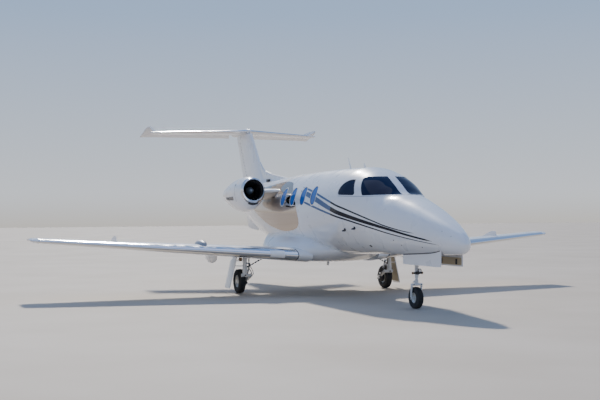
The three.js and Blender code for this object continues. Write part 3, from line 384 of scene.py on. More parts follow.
def grown(points, by):
    """An outline moved outwards by a small distance, inwards if negative."""
    flat = [Vector(p) for p in points]
    area = sum(a.x * b.y - b.x * a.y for a, b in zip(flat, flat[1:] + flat[:1]))
    sign = 1 if area > 0 else -1
    out = []
    for i, point in enumerate(flat):
        tangent = (flat[(i + 1) % len(flat)] - flat[i - 1]).normalized()
        out.append(tuple(point + Vector((tangent.y, -tangent.x)) * sign * by))
    return out


def rod(start, end, radius, end_radius=None, sides=20):
    start, end = Vector(start), Vector(end)
    end_radius = radius if end_radius is None else end_radius
    along = (end - start).normalized()
    side = along.orthogonal().normalized()
    up = along.cross(side)
    return loft([round_ring(start, side, up, radius, sides), round_ring(end, side, up, end_radius, sides)])


def tube(points, radius, sides=10):
    """A round tube through smooth points."""
    path = smooth_path([Vector(p) for p in points])
    rings = []
    side = (path[1] - path[0]).orthogonal().normalized()
    for i, point in enumerate(path):
        along = (path[min(i + 1, len(path) - 1)] - path[max(i - 1, 0)]).normalized()
        side = (side - along * side.dot(along)).normalized()
        up = along.cross(side)
        rings.append(round_ring(point, side, up, radius, sides))
    return loft(rings)


def smooth_path(points, steps=8):
    """Points closer together on a smooth curve through the given ones."""
    if len(points) < 3:
        return points
    padded = [2 * points[0] - points[1], *points, 2 * points[-1] - points[-2]]
    path = []
    for i in range(1, len(padded) - 2):
        a, b, c, d = padded[i - 1:i + 3]
        for k in range(steps):
            t = k / steps
            path.append(0.5 * (2 * b + (c - a) * t + (2 * a - 5 * b + 4 * c - d) * t ** 2
                               + (3 * b - a - 3 * c + d) * t ** 3))
    return path + [points[-1]]


def cuboid(low, high, bevel=0.0):
    (x0, y0, z0), (x1, y1, z1) = low, high
    b = bevel
    if not b:
        return loft([[(x0, y0, z), (x1, y0, z), (x1, y1, z), (x0, y1, z)] for z in (z0, z1)])
    part = b * 0.3
    rings = []
    for z, inset in ((z0, b), (z0 + part, part), (z0 + b, 0), (z1 - b, 0), (z1 - part, part), (z1, b)):
        outline = rounded([(x0 + inset, y0 + inset), (x1 - inset, y0 + inset),
                           (x1 - inset, y1 - inset), (x0 + inset, y1 - inset)], b, 3)
        rings.append([(x, y, z) for x, y in outline])
    return loft(rings)


def box(a, b, bevel):
    """A cuboid between two opposite corners, given in any order."""
    low, high = ([pick(u, v) for u, v in zip(a, b)] for pick in (min, max))
    return cuboid(low, high, bevel)


def across(station, ends, z, radius, sides=20, side=1):
    """A rod across the jet; its ends are distances from the centreline."""
    near, far = (at(station, side * y, z) for y in ends)
    return rod(near, far, radius, sides=sides)


def turned_post(profile, top, sides):
    """A turned post that hangs down: [distance from its top, radius] points."""
    turned = [(0.001, 0)] + [(r, a) for a, r in profile] + [(0.001, profile[-1][0])]
    return lathe(turned, top, (0, 0, -1), sides)


def lathe(profile, centre, axis, sides=64, closed=False):
    """A turned solid: [radius, distance along the axis] points."""
    axis = Vector(axis).normalized()
    side = axis.orthogonal().normalized()
    up = axis.cross(side)
    centre = Vector(centre)
    rings = [round_ring(centre + axis * a, side, up, max(r, 1e-5), sides) for r, a in profile]
    if closed:
        rings.append(rings[0])
    return loft(rings, caps=not closed)


def pchip(xs, ys):
    """Smooth interpolation that keeps each rise and fall."""
    xs, ys = np.asarray(xs, float), np.asarray(ys, float)
    slope = np.diff(ys) / np.diff(xs)
    tangent = np.concatenate(([slope[0]], np.zeros(len(xs) - 2), [slope[-1]]))
    both = slope[:-1] * slope[1:] > 0
    total = np.where(both, slope[:-1] + slope[1:], 1)
    tangent[1:-1] = np.where(both, 2 * slope[:-1] * slope[1:] / total, 0)

    def read(x):
        i = int(np.clip(np.searchsorted(xs, x) - 1, 0, len(xs) - 2))
        h = xs[i + 1] - xs[i]
        t = (x - xs[i]) / h
        return (ys[i] * (2 * t ** 3 - 3 * t ** 2 + 1) + tangent[i] * h * (t ** 3 - 2 * t ** 2 + t)
                + ys[i + 1] * (3 * t ** 2 - 2 * t ** 3) + tangent[i + 1] * h * (t ** 3 - t ** 2))
    return read


# Fuselage skin

# Station, top, bottom, half width, height of the widest point, upper and lower exponents
FUSELAGE = (
    (0.00, 1.195, 1.185, 0.010, 1.190, 2.00, 2.00),
    (0.04, 1.262, 1.090, 0.075, 1.180, 2.00, 2.00),
    (0.12, 1.350, 1.032, 0.128, 1.192, 2.05, 2.10),
    (0.27, 1.440, 1.010, 0.190, 1.220, 2.12, 2.20),
    (0.52, 1.561, 0.994, 0.272, 1.263, 2.20, 2.20),
    (0.87, 1.708, 0.979, 0.363, 1.312, 2.25, 2.20),
    (1.22, 1.837, 0.968, 0.434, 1.355, 2.33, 2.20),
    (1.62, 1.958, 0.955, 0.503, 1.408, 2.43, 2.20),
    (1.90, 2.033, 0.946, 0.551, 1.446, 2.53, 2.20),
    (2.10, 2.060, 0.942, 0.589, 1.475, 2.58, 2.20),
    (2.40, 2.236, 0.940, 0.656, 1.553, 2.62, 2.20),
    (2.69, 2.404, 0.940, 0.718, 1.640, 2.48, 2.20),
    (3.00, 2.519, 0.935, 0.780, 1.712, 2.26, 2.20),
    (3.42, 2.604, 0.915, 0.850, 1.745, 2.20, 2.20),
    (4.50, 2.620, 0.880, 0.860, 1.760, 2.20, 2.20),
    (6.40, 2.600, 0.880, 0.860, 1.760, 2.20, 2.20),
    (7.40, 2.560, 0.930, 0.830, 1.780, 2.20, 2.15),
    (8.40, 2.520, 1.100, 0.730, 1.840, 2.10, 2.10),
    (9.40, 2.500, 1.360, 0.580, 1.950, 2.00, 2.00),
    (10.40, 2.480, 1.660, 0.410, 2.080, 2.00, 2.00),
    (11.30, 2.430, 1.930, 0.250, 2.190, 2.00, 2.00),
    (11.90, 2.360, 2.120, 0.120, 2.240, 2.00, 2.00),
    (11.98, 2.300, 2.180, 0.060, 2.240, 2.00, 2.00),
)
SPLIT = {"nose": 0.52, "cockpit": 1.35, "cabin": 3.40, "aft": 6.90, "tail": 8.50, "end": 11.98}
WALL = 0.06
RING_SIDES = 128
RING_STEP = 0.04


def section_reader(table):
    readers = [pchip([row[0] for row in table], [row[k] for row in table]) for k in range(1, 7)]
    return lambda station: [read(station) for read in readers]


fuselage_at = section_reader(FUSELAGE)


def section_point(reader, station, turn, inset=0.0):
    top, bottom, half, waist, upper, lower = reader(station)
    c, s = math.cos(turn), math.sin(turn)
    power = 2 / (upper if s >= 0 else lower)
    rise = (top - inset - waist) if s >= 0 else (waist - bottom - inset)
    return Vector((NOSE_X - station, (half - inset) * math.copysign(abs(c) ** power, c),
                   waist + rise * math.copysign(abs(s) ** power, s)))


def side_y(station, z):
    """Distance of the skin from the centreline at a station and height."""
    top, bottom, half, waist, upper, lower = fuselage_at(station)
    power, rise = (upper, top - waist) if z >= waist else (lower, waist - bottom)
    share = min(abs(z - waist) / rise, 1)
    return half * (1 - share ** power) ** (1 / power)


def skin_point(station, z, side):
    return Vector((NOSE_X - station, side * side_y(station, z), z))


def skin_normal(station, z, side):
    step = 0.004
    along = skin_point(station + step, z, side) - skin_point(station - step, z, side)
    up = skin_point(station, z + step, side) - skin_point(station, z - step, side)
    normal = along.cross(up).normalized()
    return normal if normal.y * side > 0 else -normal


def ring_turns(count):
    """Turns spaced so that the points are even along the flanks too."""
    return [2 * math.pi * (i + 0.5) / count for i in range(count)]


def hull_rings(start, end, inset=0.0, sides=None, step=None):
    step = step or RING_STEP
    stations = [start, start + 0.002]
    near = 0.2
    while stations[-1] < end - 0.004:
        here = stations[-1]
        pace = step * (0.25 if here < near else 1)
        stations.append(min(here + pace, end - 0.002) if here + pace < end - 0.003 else end - 0.002)
        if stations[-1] >= end - 0.0025:
            break
    stations.append(end)
    turns = ring_turns(sides or RING_SIDES)
    return [[section_point(fuselage_at, s, t, inset) for t in turns] for s in stations]


def hull_solid(start, end, inset=0.0, **detail):
    return loft(hull_rings(start, end, inset, **detail))


def hull_shell(start, end, outer=0.0, inner=WALL, **detail):
    """A skin with an inner wall, open at both ends."""
    outside = hull_rings(start, end, outer, **detail)
    inside = hull_rings(start, end, inner, **detail)
    return loft(outside + inside[::-1] + outside[:1], caps=False)


def depth_share(point):
    """1 on the skin, less inside it."""
    top, bottom, half, waist, upper, lower = fuselage_at(NOSE_X - point.x)
    power, rise = (upper, top - waist) if point.z >= waist else (lower, waist - bottom)
    return ((abs(point.y) / half) ** power + (abs(point.z - waist) / rise) ** power) ** (1 / power)


def line_inside(piece, material):
    """Faces that lie deeper than the skin take the inside's material."""
    mesh = piece.data
    mesh.materials.append(MAT[material])
    inside = len(mesh.materials) - 1
    for face in mesh.polygons:
        _, _, half, _, _, _ = fuselage_at(min(max(NOSE_X - face.center.x, 0), SPLIT["end"]))
        if depth_share(face.center) < 1 - 0.006 / max(half, 0.05):
            face.material_index = inside


# Windows

POST_HALF = 0.078
PANE_INSET, PANE_THICK = 0.004, 0.008
WINDSHIELD = rounded([(1.955, 2.048), (2.632, 2.036), (2.908, 2.366), (2.868, 2.394), (2.56, 2.402)], 0.035)
CABIN_WINDOW = {"stations": (4.50, 5.06, 5.62, 6.18), "z": 2.072, "half": 0.128, "tall": 0.188, "power": 0.82}
FAR_OUT = 1.2


def quarter_window():
    arc = [(3.12 + 0.258 * math.cos(math.radians(t)), 2.13 + 0.224 * math.sin(math.radians(t)))
           for t in range(4, 89, 7)]
    return [(2.895, 2.046), (3.31, 2.061), (3.345, 2.075), (3.367, 2.102)] + arc + [
        (3.075, 2.353), (3.05, 2.345), (2.862, 2.092), (2.855, 2.068), (2.87, 2.052)]


def oval(station):
    half, tall, power = CABIN_WINDOW["half"], CABIN_WINDOW["tall"], CABIN_WINDOW["power"]
    return [(station + half * math.copysign(abs(math.cos(t)) ** power, math.cos(t)),
             CABIN_WINDOW["z"] + tall * math.copysign(abs(math.sin(t)) ** power, math.sin(t)))
            for t in circle(48)]


def windows(side, by=0.0):
    """Every window's cutting prism on one side, grown by a margin."""
    post = POST_HALF - by
    cockpit = [(grown(WINDSHIELD, by), post), (grown(quarter_window(), by), 0.3)]
    cabin = [(grown(oval(s), by), 0.4) for s in CABIN_WINDOW["stations"]]
    def cut_prism(outline, near):
        low, high = sorted((side * near, side * FAR_OUT))
        return prism(outline, low, high)
    return [cut_prism(*item) for item in cockpit], [cut_prism(*item) for item in cabin]


# Doors

DOOR_GAP = 0.005
DOORS = {
    "entry_door": {"stations": (3.46, 4.13), "low": 1.15, "high": 2.49, "hinge": "low", "body": "airstair",
                   "corner": 0.10, "section": (3.40, 4.4)},
    "nose_hold_door": {"stations": (0.84, 1.25), "low": 1.33, "high": 1.59, "hinge": "high",
                       "body": "nose_bag_door", "corner": 0.04, "section": (0.6, 1.348)},
    "aft_hold_door": {"stations": (7.35, 8.05), "low": 1.33, "high": 1.79, "hinge": "high",
                      "body": "aft_bag_door", "corner": 0.06, "section": (6.95, 8.45)},
}
DOOR_REACH = 0.42


def door_prism(door, gap):
    """The space a door fills, square to its hinge line, with round corners."""
    z = door["low"] if door["hinge"] == "low" else door["high"]
    start, end = (skin_point(s, z, 1) for s in door["stations"])
    along = (end - start)
    length = along.length
    along.normalize()
    inward = Vector((0, -1, 0))
    inward = (inward - along * inward.dot(along)).normalized()
    height = door["high"] - door["low"]
    low, high = (0, height) if door["hinge"] == "low" else (-height, 0)
    outline = rounded([(gap, low + gap), (length - gap, low + gap), (length - gap, high - gap),
                       (gap, high - gap)], door["corner"] - gap)
    up = Vector((0, 0, 1))
    return loft([[start + along * a + up * b + inward * depth for a, b in outline]
                 for depth in (-DOOR_REACH, DOOR_REACH)])


def nose_bay():
    """Cutting boxes for the nose gear bay."""
    return [cuboid((NOSE_X - 1.352, -0.15, 0.7), (NOSE_X - 0.56, 0.15, 1.2)),
            cuboid((NOSE_X - 1.87, -0.15, 0.7), (NOSE_X - 1.34, 0.15, 1.07))]


NOSE_HOLD, AFT_HOLD = (0.80, 1.30), (6.96, 8.44)    # front and rear stations


def build_fuselage():
    cockpit_cuts, cabin_cuts = [], []
    for _, side in SIDES:
        cockpit, cabin = windows(side)
        cockpit_cuts += cockpit
        cabin_cuts += cabin
    nose = new_piece("nose_cone_skin", *hull_solid(0, SPLIT["nose"]), "paint", "airframe")
    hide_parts("nose_cone")

    front = new_piece("nose_section_skin", *hull_solid(SPLIT["nose"], SPLIT["cockpit"]), "paint")
    hold = hull_solid(*NOSE_HOLD, WALL, sides=32)
    carve(front, [hold, door_prism(DOORS["nose_hold_door"], 0), *nose_bay()])
    line_inside(front, "bay")
    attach(front, "airframe")
    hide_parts("nose_section")

    cockpit = new_piece("cockpit_skin", *hull_shell(SPLIT["cockpit"], SPLIT["cabin"]), "paint")
    carve(cockpit, [*cockpit_cuts, *nose_bay()])
    line_inside(cockpit, "lining")
    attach(cockpit, "airframe")
    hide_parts("cockpit_section")

    cabin = new_piece("cabin_skin", *hull_shell(SPLIT["cabin"], SPLIT["aft"]), "paint")
    carve(cabin, [*cabin_cuts, door_prism(DOORS["entry_door"], 0)])
    line_inside(cabin, "lining")
    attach(cabin, "airframe")
    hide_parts("cabin_section")

    aft = new_piece("aft_section_skin", *hull_solid(SPLIT["aft"], SPLIT["tail"]), "paint")
    carve(aft, [hull_solid(*AFT_HOLD, WALL, sides=48), door_prism(DOORS["aft_hold_door"], 0)])
    line_inside(aft, "bay")
    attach(aft, "airframe")
    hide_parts("aft_section")

    tail = new_piece("tail_cone_skin", *hull_solid(SPLIT["tail"], SPLIT["end"]), "paint", "airframe")
    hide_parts("tail_cone")

    for name, door in DOORS.items():
        leaf = new_piece(name + "_skin", *hull_shell(*door["section"]), "paint")
        carve(leaf, [door_prism(door, DOOR_GAP)], "INTERSECT")
        line_inside(leaf, "lining")
        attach(leaf, door["body"])
        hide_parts(name)


def build_glass():
    for word, side in SIDES:
        panes_cockpit, panes_cabin = windows(side, -0.002)
        rims_cockpit, rims_cabin = windows(side, -0.0125)
        outer_cockpit, outer_cabin = windows(side, -0.0005)
        jobs = (
            ("cockpit_glass", (1.9, 3.395), panes_cockpit, rims_cockpit, outer_cockpit, "screen"),
            ("cabin_windows", (4.3, 6.4), panes_cabin, rims_cabin, outer_cabin, "pane"),
        )
        for name, span, panes, rims, outers, material in jobs:
            shell = hull_shell(*span, PANE_INSET, PANE_INSET + PANE_THICK)
            glass = new_piece(f"{name}_{word}_pane", *shell, material)
            carve(glass, [merged(panes)], "INTERSECT")
            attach(glass, "airframe")
            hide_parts(f"{name}_{word}")
            seal = new_piece(f"{name}_{word}_seal", *hull_shell(*span, 0.0008, 0.014), "seal")
            carve(seal, [merged(outers)], "INTERSECT")
            carve(seal, rims)
            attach(seal, "airframe")


# Lines and bands that lie on the skin

def ribbon(centres, normals, widths, lift):
    """A thin closed strip that lies just off a surface."""
    verts, faces = [], []
    count = len(centres)
    for i, (centre, normal, width) in enumerate(zip(centres, normals, widths)):
        along = (centres[min(i + 1, count - 1)] - centres[max(i - 1, 0)]).normalized()
        across = normal.cross(along).normalized() * width / 2
        base = centre + normal * lift
        under = centre - normal * 0.002
        verts += [base - across, base + across, under + across, under - across]
    for i in range(count - 1):
        a = 4 * i
        for k in range(4):
            faces.append((a + k, a + (k + 1) % 4, a + 4 + (k + 1) % 4, a + 4 + k))
    faces.append((3, 2, 1, 0))
    end = 4 * (count - 1)
    faces.append((end, end + 1, end + 2, end + 3))
    return verts, faces


def skin_line(points, side, width, lift=0.0006, spacing=0.03):
    """A strip on the fuselage's flank through [station, z] points."""
    curve = smooth_path([Vector((s, z, 0)) for s, z in points])
    dense = [curve[0]]
    for point in curve[1:]:
        steps = max(1, math.ceil((point - dense[-1]).length / spacing))
        start = dense[-1]
        dense += [start.lerp(point, k / steps) for k in range(1, steps + 1)]
    centres = [skin_point(p.x, p.y, side) for p in dense]
    normals = [skin_normal(p.x, p.y, side) for p in dense]
    total = dense[-1].x - dense[0].x
    if callable(width):
        widths = [width(p.x, (p.x - dense[0].x) / total) for p in dense]
    else:
        widths = [width] * len(dense)
    return ribbon(centres, normals, widths, lift)


# Station and height along each stripe, and its full width
STRIPES = {
    "middle": (((0.634, 1.230), (1.226, 1.324), (1.729, 1.413), (2.160, 1.490), (3.016, 1.662),
                (3.640, 1.810), (4.210, 1.960), (4.700, 2.075), (5.300, 2.190)), 0.100),
    "lower": (((0.489, 1.171), (1.158, 1.255), (1.795, 1.349), (2.165, 1.418), (3.140, 1.610),
               (4.070, 1.780), (4.868, 1.930), (5.250, 2.000)), 0.042),
    "upper": (((1.066, 1.358), (1.445, 1.404), (1.874, 1.479), (2.161, 1.549), (3.140, 1.810),
               (4.270, 2.085), (4.800, 2.190), (5.300, 2.270)), 0.042),
}
STRIPE_FULL = 4.0           # station from which a stripe has its full width
STRIPE_LIFT = 0.0012
BLUE_FROM = 3.6


def build_stripes():
    def wide(full):
        def width(station, share):
            grow = full * (0.16 + 0.84 * min(station / STRIPE_FULL, 1) ** 1.3)
            return max(grow * min(1, share / 0.04 + 0.05, (1 - share) / 0.10 + 0.05), 0.001)
        return width
    for word, side in SIDES:
        _, cabin = windows(side, 0.02)
        for name, (points, full) in STRIPES.items():
            line = skin_line(points, side, wide(full), STRIPE_LIFT)
            band = new_piece(f"stripe_{name}_{word}", *line, "stripe_dark")
            carve(band, cabin)
            band.data.materials.append(MAT["stripe_blue"])
            for face in band.data.polygons:
                if NOSE_X - face.center.x > BLUE_FROM:
                    face.material_index = 1
            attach(band, "airframe")


# Lower and upper edges of the mirror band: station, height
SWOOSH_LOW = ((5.24, 1.60), (5.27, 1.50), (5.43, 1.41), (5.80, 1.35), (6.19, 1.33), (6.96, 1.42),
              (7.61, 1.59), (8.34, 1.80), (9.20, 2.00), (10.10, 2.17))
SWOOSH_HIGH = ((5.24, 1.60), (5.33, 1.80), (5.44, 1.96), (5.60, 2.10), (5.82, 2.25), (6.08, 2.38),
               (6.60, 2.42), (7.60, 2.36), (8.50, 2.31), (9.50, 2.25), (10.10, 2.18))


def build_swoosh():
    """The mirror band on the rear fuselage, a patch laid on the skin."""
    low = pchip(*zip(*SWOOSH_LOW))
    high = pchip(*zip(*SWOOSH_HIGH))
    start, end = SWOOSH_LOW[0][0], SWOOSH_LOW[-1][0]
    fine = start + 0.2 * np.linspace(0.02, 1, 16) ** 2
    stations = np.concatenate((fine, np.linspace(start + 0.22, end, 90)))
    rows = 30
    for word, side in SIDES:
        rings = []
        for station in stations:
            station = float(station)
            bottom, top = low(station), high(station)
            heights = [bottom + (top - bottom) * k / rows for k in range(rows + 1)]
            normals = [skin_normal(station, z, side) for z in heights]
            skin = [skin_point(station, z, side) for z in heights]
            outer = [point + normal * 0.0010 for point, normal in zip(skin, normals)]
            inner = [point - normal * 0.0020 for point, normal in zip(skin, normals)]
            rings.append(outer + inner[::-1])
        patch = new_piece(f"mirror_band_{word}", *loft(rings), "mirror", "airframe")
        _, cabin = windows(side, 0.02)
        carve(patch, cabin)
        if side > 0:
            door = DOORS["aft_hold_door"]
            part = new_piece("mirror_band_door", *loft(rings), "mirror", door["body"])
            carve(part, [door_prism(door, DOOR_GAP)], "INTERSECT")
            carve(patch, [door_prism(door, 0)])


# Aerofoils

# Distance from the centreline, leading-edge station, chord, height, incidence, thickness
WING = (
    (0.75, 4.696, 2.045, 0.842, 2.5, 0.148),
    (3.50, 5.512, 1.436, 1.014, 1.7, 0.138),
    (6.00, 6.255, 0.883, 1.184, 1.0, 0.122),
    (6.11, 6.300, 0.800, 1.194, 1.0, 0.097),
    (6.15, 6.400, 0.600, 1.204, 1.0, 0.045),
)
WING_CAMBER = 0.018
WING_HINGE = 0.77
HINGE_GAP = 0.008
NOSE_FIT = 0.98                     # a moving part's nose radius against half the foil's thickness
TAILPLANE = (
    (0.00, 10.760, 1.300, 3.890, 0, 0.100),
    (2.10, 11.800, 0.890, 3.894, 0, 0.095),
    (2.40, 11.948, 0.857, 3.895, 0, 0.085),
    (2.44, 12.010, 0.818, 3.895, 0, 0.065),
    (2.465, 12.100, 0.725, 3.895, 0, 0.035),
)
TAILPLANE_HINGE = 0.70              # share of the chord, like WING_HINGE
HORN_FROM = 0.995
PAST = 0.9                          # a cutting solid reaches this far past what it cuts
HORN_LEAN = 0.26
ELEVATOR_DROOP = math.radians(16)
FLAP_SPAN = (1.11, 3.49)
AILERON_SPAN = (3.53, 5.65)
ELEVATOR_SPAN = (0.25, 2.08)
FLAP_AXIS_DROP = 0.215
FLAP_COVE = 0.024
CANOE = {"y": 2.35, "start": 6.15, "end": 6.96, "half": 0.062, "z": 0.785, "drop": 0.128}
TRAILING_HALF = 0.0025
CHORD_POINTS = 48


def row_at(table, y):
    """A row of a foil table, blended for a distance from the centreline."""
    i = max(k for k in range(len(table) - 1) if k == 0 or table[k][0] <= y)
    t = (y - table[i][0]) / (table[i + 1][0] - table[i][0])
    return [a + (b - a) * t for a, b in zip(table[i], table[i + 1])]


def foil_half(share, thickness, chord):
    """Half the thickness of an aerofoil at a share of its chord."""
    root = math.sqrt(share)
    half = 5 * thickness * (0.2969 * root - 0.126 * share - 0.3516 * share ** 2
                            + 0.2843 * share ** 3 - 0.1036 * share ** 4)
    return half * chord + TRAILING_HALF * share


def foil_point(row, camber, share, level, side, lift=0.0):
    """A point on a foil; level is +1 for the upper face, -1 for the lower."""
    y, lead, chord, z, incidence, thickness = row
    up = 4 * camber * share * (1 - share) * chord + level * (foil_half(share, thickness, chord) + lift)
    tilt = math.radians(incidence)
    aft = share * chord
    return Vector((NOSE_X - lead - aft * math.cos(tilt) - up * math.sin(tilt), side * y,
                   z - aft * math.sin(tilt) + up * math.cos(tilt)))


def chord_shares(count, start=0.0, end=1.0):
    """Shares of the chord, closer together near the leading edge."""
    shares = [0.5 * (1 - math.cos(math.pi * k / count)) for k in range(count + 1)]
    return [start + (end - start) * s for s in shares]


def foil_wrap(row, camber, shares, side, lift=0.0):
    """Points from the upper face's last share round the leading edge to the lower face's."""
    upper = [foil_point(row, camber, s, 1, side, lift) for s in reversed(shares)]
    return upper + [foil_point(row, camber, s, -1, side, lift) for s in shares[1:]]


def foil_ring(row, camber, side):
    return foil_wrap(row, camber, chord_shares(CHORD_POINTS), side)


def foil_solid(table, camber, side, step=0.25):
    ys = []
    for (y0, *_), (y1, *_) in zip(table, table[1:]):
        pieces = max(1, round((y1 - y0) / step))
        ys += [y0 + (y1 - y0) * k / pieces for k in range(pieces)]
    ys.append(table[-1][0])
    return loft([foil_ring(row_at(table, y), camber, side) for y in ys])


def hinge_frame(start, end):
    along = end - start
    length = along.length
    along.normalize()
    aft = Vector((-1, 0, 0))
    aft = (aft - along * aft.dot(along)).normalized()
    square = along.cross(aft)
    return start, along, aft, square, length


def hinge_box(frame_, low, high):
    start, along, aft, square, _ = frame_
    corners = []
    for c in (low[2], high[2]):
        ring = []
        for a, b in ((low[0], low[1]), (high[0], low[1]), (high[0], high[1]), (low[0], high[1])):
            ring.append(start + along * a + aft * b + square * c)
        corners.append(ring)
    return loft(corners)


def hinge_bar(frame_, low, high, radius, end_radius=None, sides=32):
    start, along, _, _, _ = frame_
    return rod(start + along * low, start + along * high, radius, end_radius, sides)


def solid_of(piece):
    """A piece's mesh as (verts, faces); the piece itself goes."""
    solid = ([tuple(v.co) for v in piece.data.vertices], [tuple(p.vertices) for p in piece.data.polygons])
    remove(piece)
    return solid


def round_nosed(solid, line, length, radii, depth):
    """The part of a foil behind a hinge line, with a round nose."""
    r0, r1 = radii
    reach = 3 * r0 + 0.06
    keep = new_piece("keep", *hinge_box(line, (0, 0, -reach), (length, depth, reach)), None)
    carve(keep, [hinge_bar(line, 0, length, r0, r1)], "UNION")
    part = new_piece("part", *solid, None)
    carve(part, [solid_of(keep)], "INTERSECT")
    cuts = [hinge_box(line, (-HINGE_GAP, 0, -reach), (length + HINGE_GAP, depth, reach)),
            hinge_bar(line, -HINGE_GAP, length + HINGE_GAP, r0 + HINGE_GAP, r1 + HINGE_GAP)]
    return solid_of(part), cuts


def nose_radii(table, ys, share):
    """Radii of a moving part's nose at both ends of its hinge line."""
    rows = [row_at(table, y) for y in ys]
    return [foil_half(share, row[5], row[2]) * NOSE_FIT for row in rows]


def split_round(name, solid, ends, radii, depth, material, moving_body):
    """A hinged part of a foil, and the solids that clear its place in the fixed part."""
    line = hinge_frame(*ends)
    part, cuts = round_nosed(solid, line, line[4], radii, depth)
    return new_piece(name, *part, material, moving_body), cuts


def split_horn(name, solid, ends, radii, droop, material, moving_body):
    """A round-nosed elevator whose tip takes the whole chord, turned down by its droop."""
    line = hinge_frame(*ends)
    start, along, _, _, length = line
    end = HORN_FROM * length
    reach = 3 * radii[0] + 0.06
    part, cuts = round_nosed(solid, line, end, radii, 0.7)

    def tip_space(begin):
        outline = ((begin, PAST), (begin, 0), (begin + PAST * HORN_LEAN, -PAST),
                   (end + PAST, -PAST), (end + PAST, PAST))
        return loft([[start + along * a + line[2] * b + line[3] * height for a, b in outline]
                     for height in (-reach, reach)])
    tip = new_piece("tip", *solid, None)
    carve(tip, [tip_space(end)], "INTERSECT")
    moving = new_piece(name, *merged([part, solid_of(tip)]), material)
    turn = Matrix.Translation(start) @ Matrix.Rotation(-droop, 4, along) @ Matrix.Translation(-start)
    moving.data.transform(turn)
    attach(moving, moving_body)
    return moving, [*cuts, tip_space(end - HINGE_GAP)]


def front_strip(table, ys, share, side, gap, low=0.5, high=4.5):
    """The space ahead of a share of the chord."""
    ring = []
    for i, y in enumerate(ys):
        row = row_at(table, y)
        here = side * (y + (gap if i == 0 else -gap))
        ring.append((here, NOSE_X - (row[1] - 0.06), NOSE_X - (row[1] + share * row[2] - gap)))
    (y0, a0, b0), (y1, a1, b1) = ring
    return loft([[(a0, y0, z), (b0, y0, z), (b1, y1, z), (a1, y1, z)] for z in (low, high)])


def canoe(side):
    """The long fairing under the flap, from its front to its rear tip."""
    rings = []
    for t in (k / 24 for k in range(25)):
        size = max(math.sin(math.pi * t ** 0.85) ** 0.6, 0.06)
        x = NOSE_X - (CANOE["start"] + (CANOE["end"] - CANOE["start"]) * t)
        rings.append([(x, side * (CANOE["y"] + CANOE["half"] * size * math.cos(a)),
                       CANOE["z"] + CANOE["drop"] * size * math.sin(a)) for a in circle(24)])
    return loft(rings)


LEADING_EDGE, LAMP_EDGE = 0.10, 0.16    # shares of the chord
EDGE_SPAN, LAMP_SPAN = (1.022, 5.99), (6.005, 6.095)
STRIP_GAP = 0.0008
LEG_SLOT = {"stations": (6.070, 6.200), "ys": (1.10, 1.80), "roof": 0.865}
WHEEL_BAY = {"stations": (5.88, 6.42), "ys": (0.50, 0.985), "roof": 0.815}


def well(space, side):
    """A gear well's space, open below."""
    (s0, s1), (y0, y1) = space["stations"], space["ys"]
    low, high = sorted((side * y0, side * y1))
    return cuboid((NOSE_X - s1, low, 0.5), (NOSE_X - s0, high, space["roof"]))


def build_wing(word, side):
    wing = foil_solid(WING, WING_CAMBER, side)
    drop = Vector((0, 0, -FLAP_AXIS_DROP))
    ends = [foil_point(row_at(WING, y), WING_CAMBER, WING_HINGE, 0, side) + drop for y in FLAP_SPAN]
    line = hinge_frame(*ends)
    length = line[4]
    canoe_at = length * (CANOE["y"] - FLAP_SPAN[0]) / (FLAP_SPAN[1] - FLAP_SPAN[0])
    flap = new_piece(f"flap_{word}_skin", *wing, "paint")
    carve(flap, [canoe(side)], "UNION")
    carve(flap, [hinge_box(line, (0, 0, -0.6), (length, PAST, 0.6))], "INTERSECT")
    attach(flap, f"{word}_flap")
    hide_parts(f"flap_{word}")

    aileron_ends = [foil_point(row_at(WING, y), WING_CAMBER, WING_HINGE, 0, side) for y in AILERON_SPAN]
    radii = nose_radii(WING, AILERON_SPAN, WING_HINGE)
    aileron, cuts = split_round(f"aileron_{word}_skin", wing, aileron_ends, radii, 0.6, "paint",
                                f"{word}_aileron")
    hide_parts(f"aileron_{word}")

    body = new_piece(f"wing_{word}_skin", *wing, "paint")
    carve(body, [canoe(side)], "UNION")
    carve(body, [
        hinge_box(line, (-HINGE_GAP, -FLAP_COVE, -0.6), (length + HINGE_GAP, PAST, 0.6)),
        hinge_box(line, (canoe_at - 0.08, -0.036, -0.09), (canoe_at + 0.08, PAST, 0.09)),
        *cuts,
        well(LEG_SLOT, side),
        well(WHEEL_BAY, side),
        front_strip(WING, EDGE_SPAN, LEADING_EDGE, side, -STRIP_GAP),
        front_strip(WING, LAMP_SPAN, LAMP_EDGE, side, -STRIP_GAP),
    ])
    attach(body, "airframe")
    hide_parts(f"wing_{word}")

    edge = new_piece(f"wing_leading_edge_{word}_skin", *wing, "polished")
    carve(edge, [front_strip(WING, EDGE_SPAN, LEADING_EDGE, side, STRIP_GAP)], "INTERSECT")
    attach(edge, "airframe")
    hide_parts(f"wing_leading_edge_{word}")
    lamp = new_piece(f"nav_light_{word}_skin", *wing, "lens")
    carve(lamp, [front_strip(WING, LAMP_SPAN, LAMP_EDGE, side, STRIP_GAP)], "INTERSECT")
    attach(lamp, "airframe")
    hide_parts(f"nav_light_{word}")
    build_fence(word, side)
    build_edge_fittings(word, side)


EDGE_LAMP = (1.29, 1.57)
EDGE_RING = (1.022, 1.038)
BUMP = {"y": 2.80, "share": 0.30, "size": (0.30, 0.10, 0.085)}


def edge_patch(side, ys, reach, lift, steps=10):
    """A thin shell wrapped round the wing's leading edge between two distances from the centreline."""
    shares = [reach * (k / steps) ** 2 for k in range(steps + 1)]
    rings = []
    for y in np.linspace(*ys, 8):
        row = row_at(WING, float(y))
        outer = foil_wrap(row, WING_CAMBER, shares, side, lift)
        inner = foil_wrap(row, WING_CAMBER, shares, side, -0.002)
        rings.append([Vector((p.x + lift, p.y, p.z)) for p in outer] + inner[::-1])
    return loft(rings)


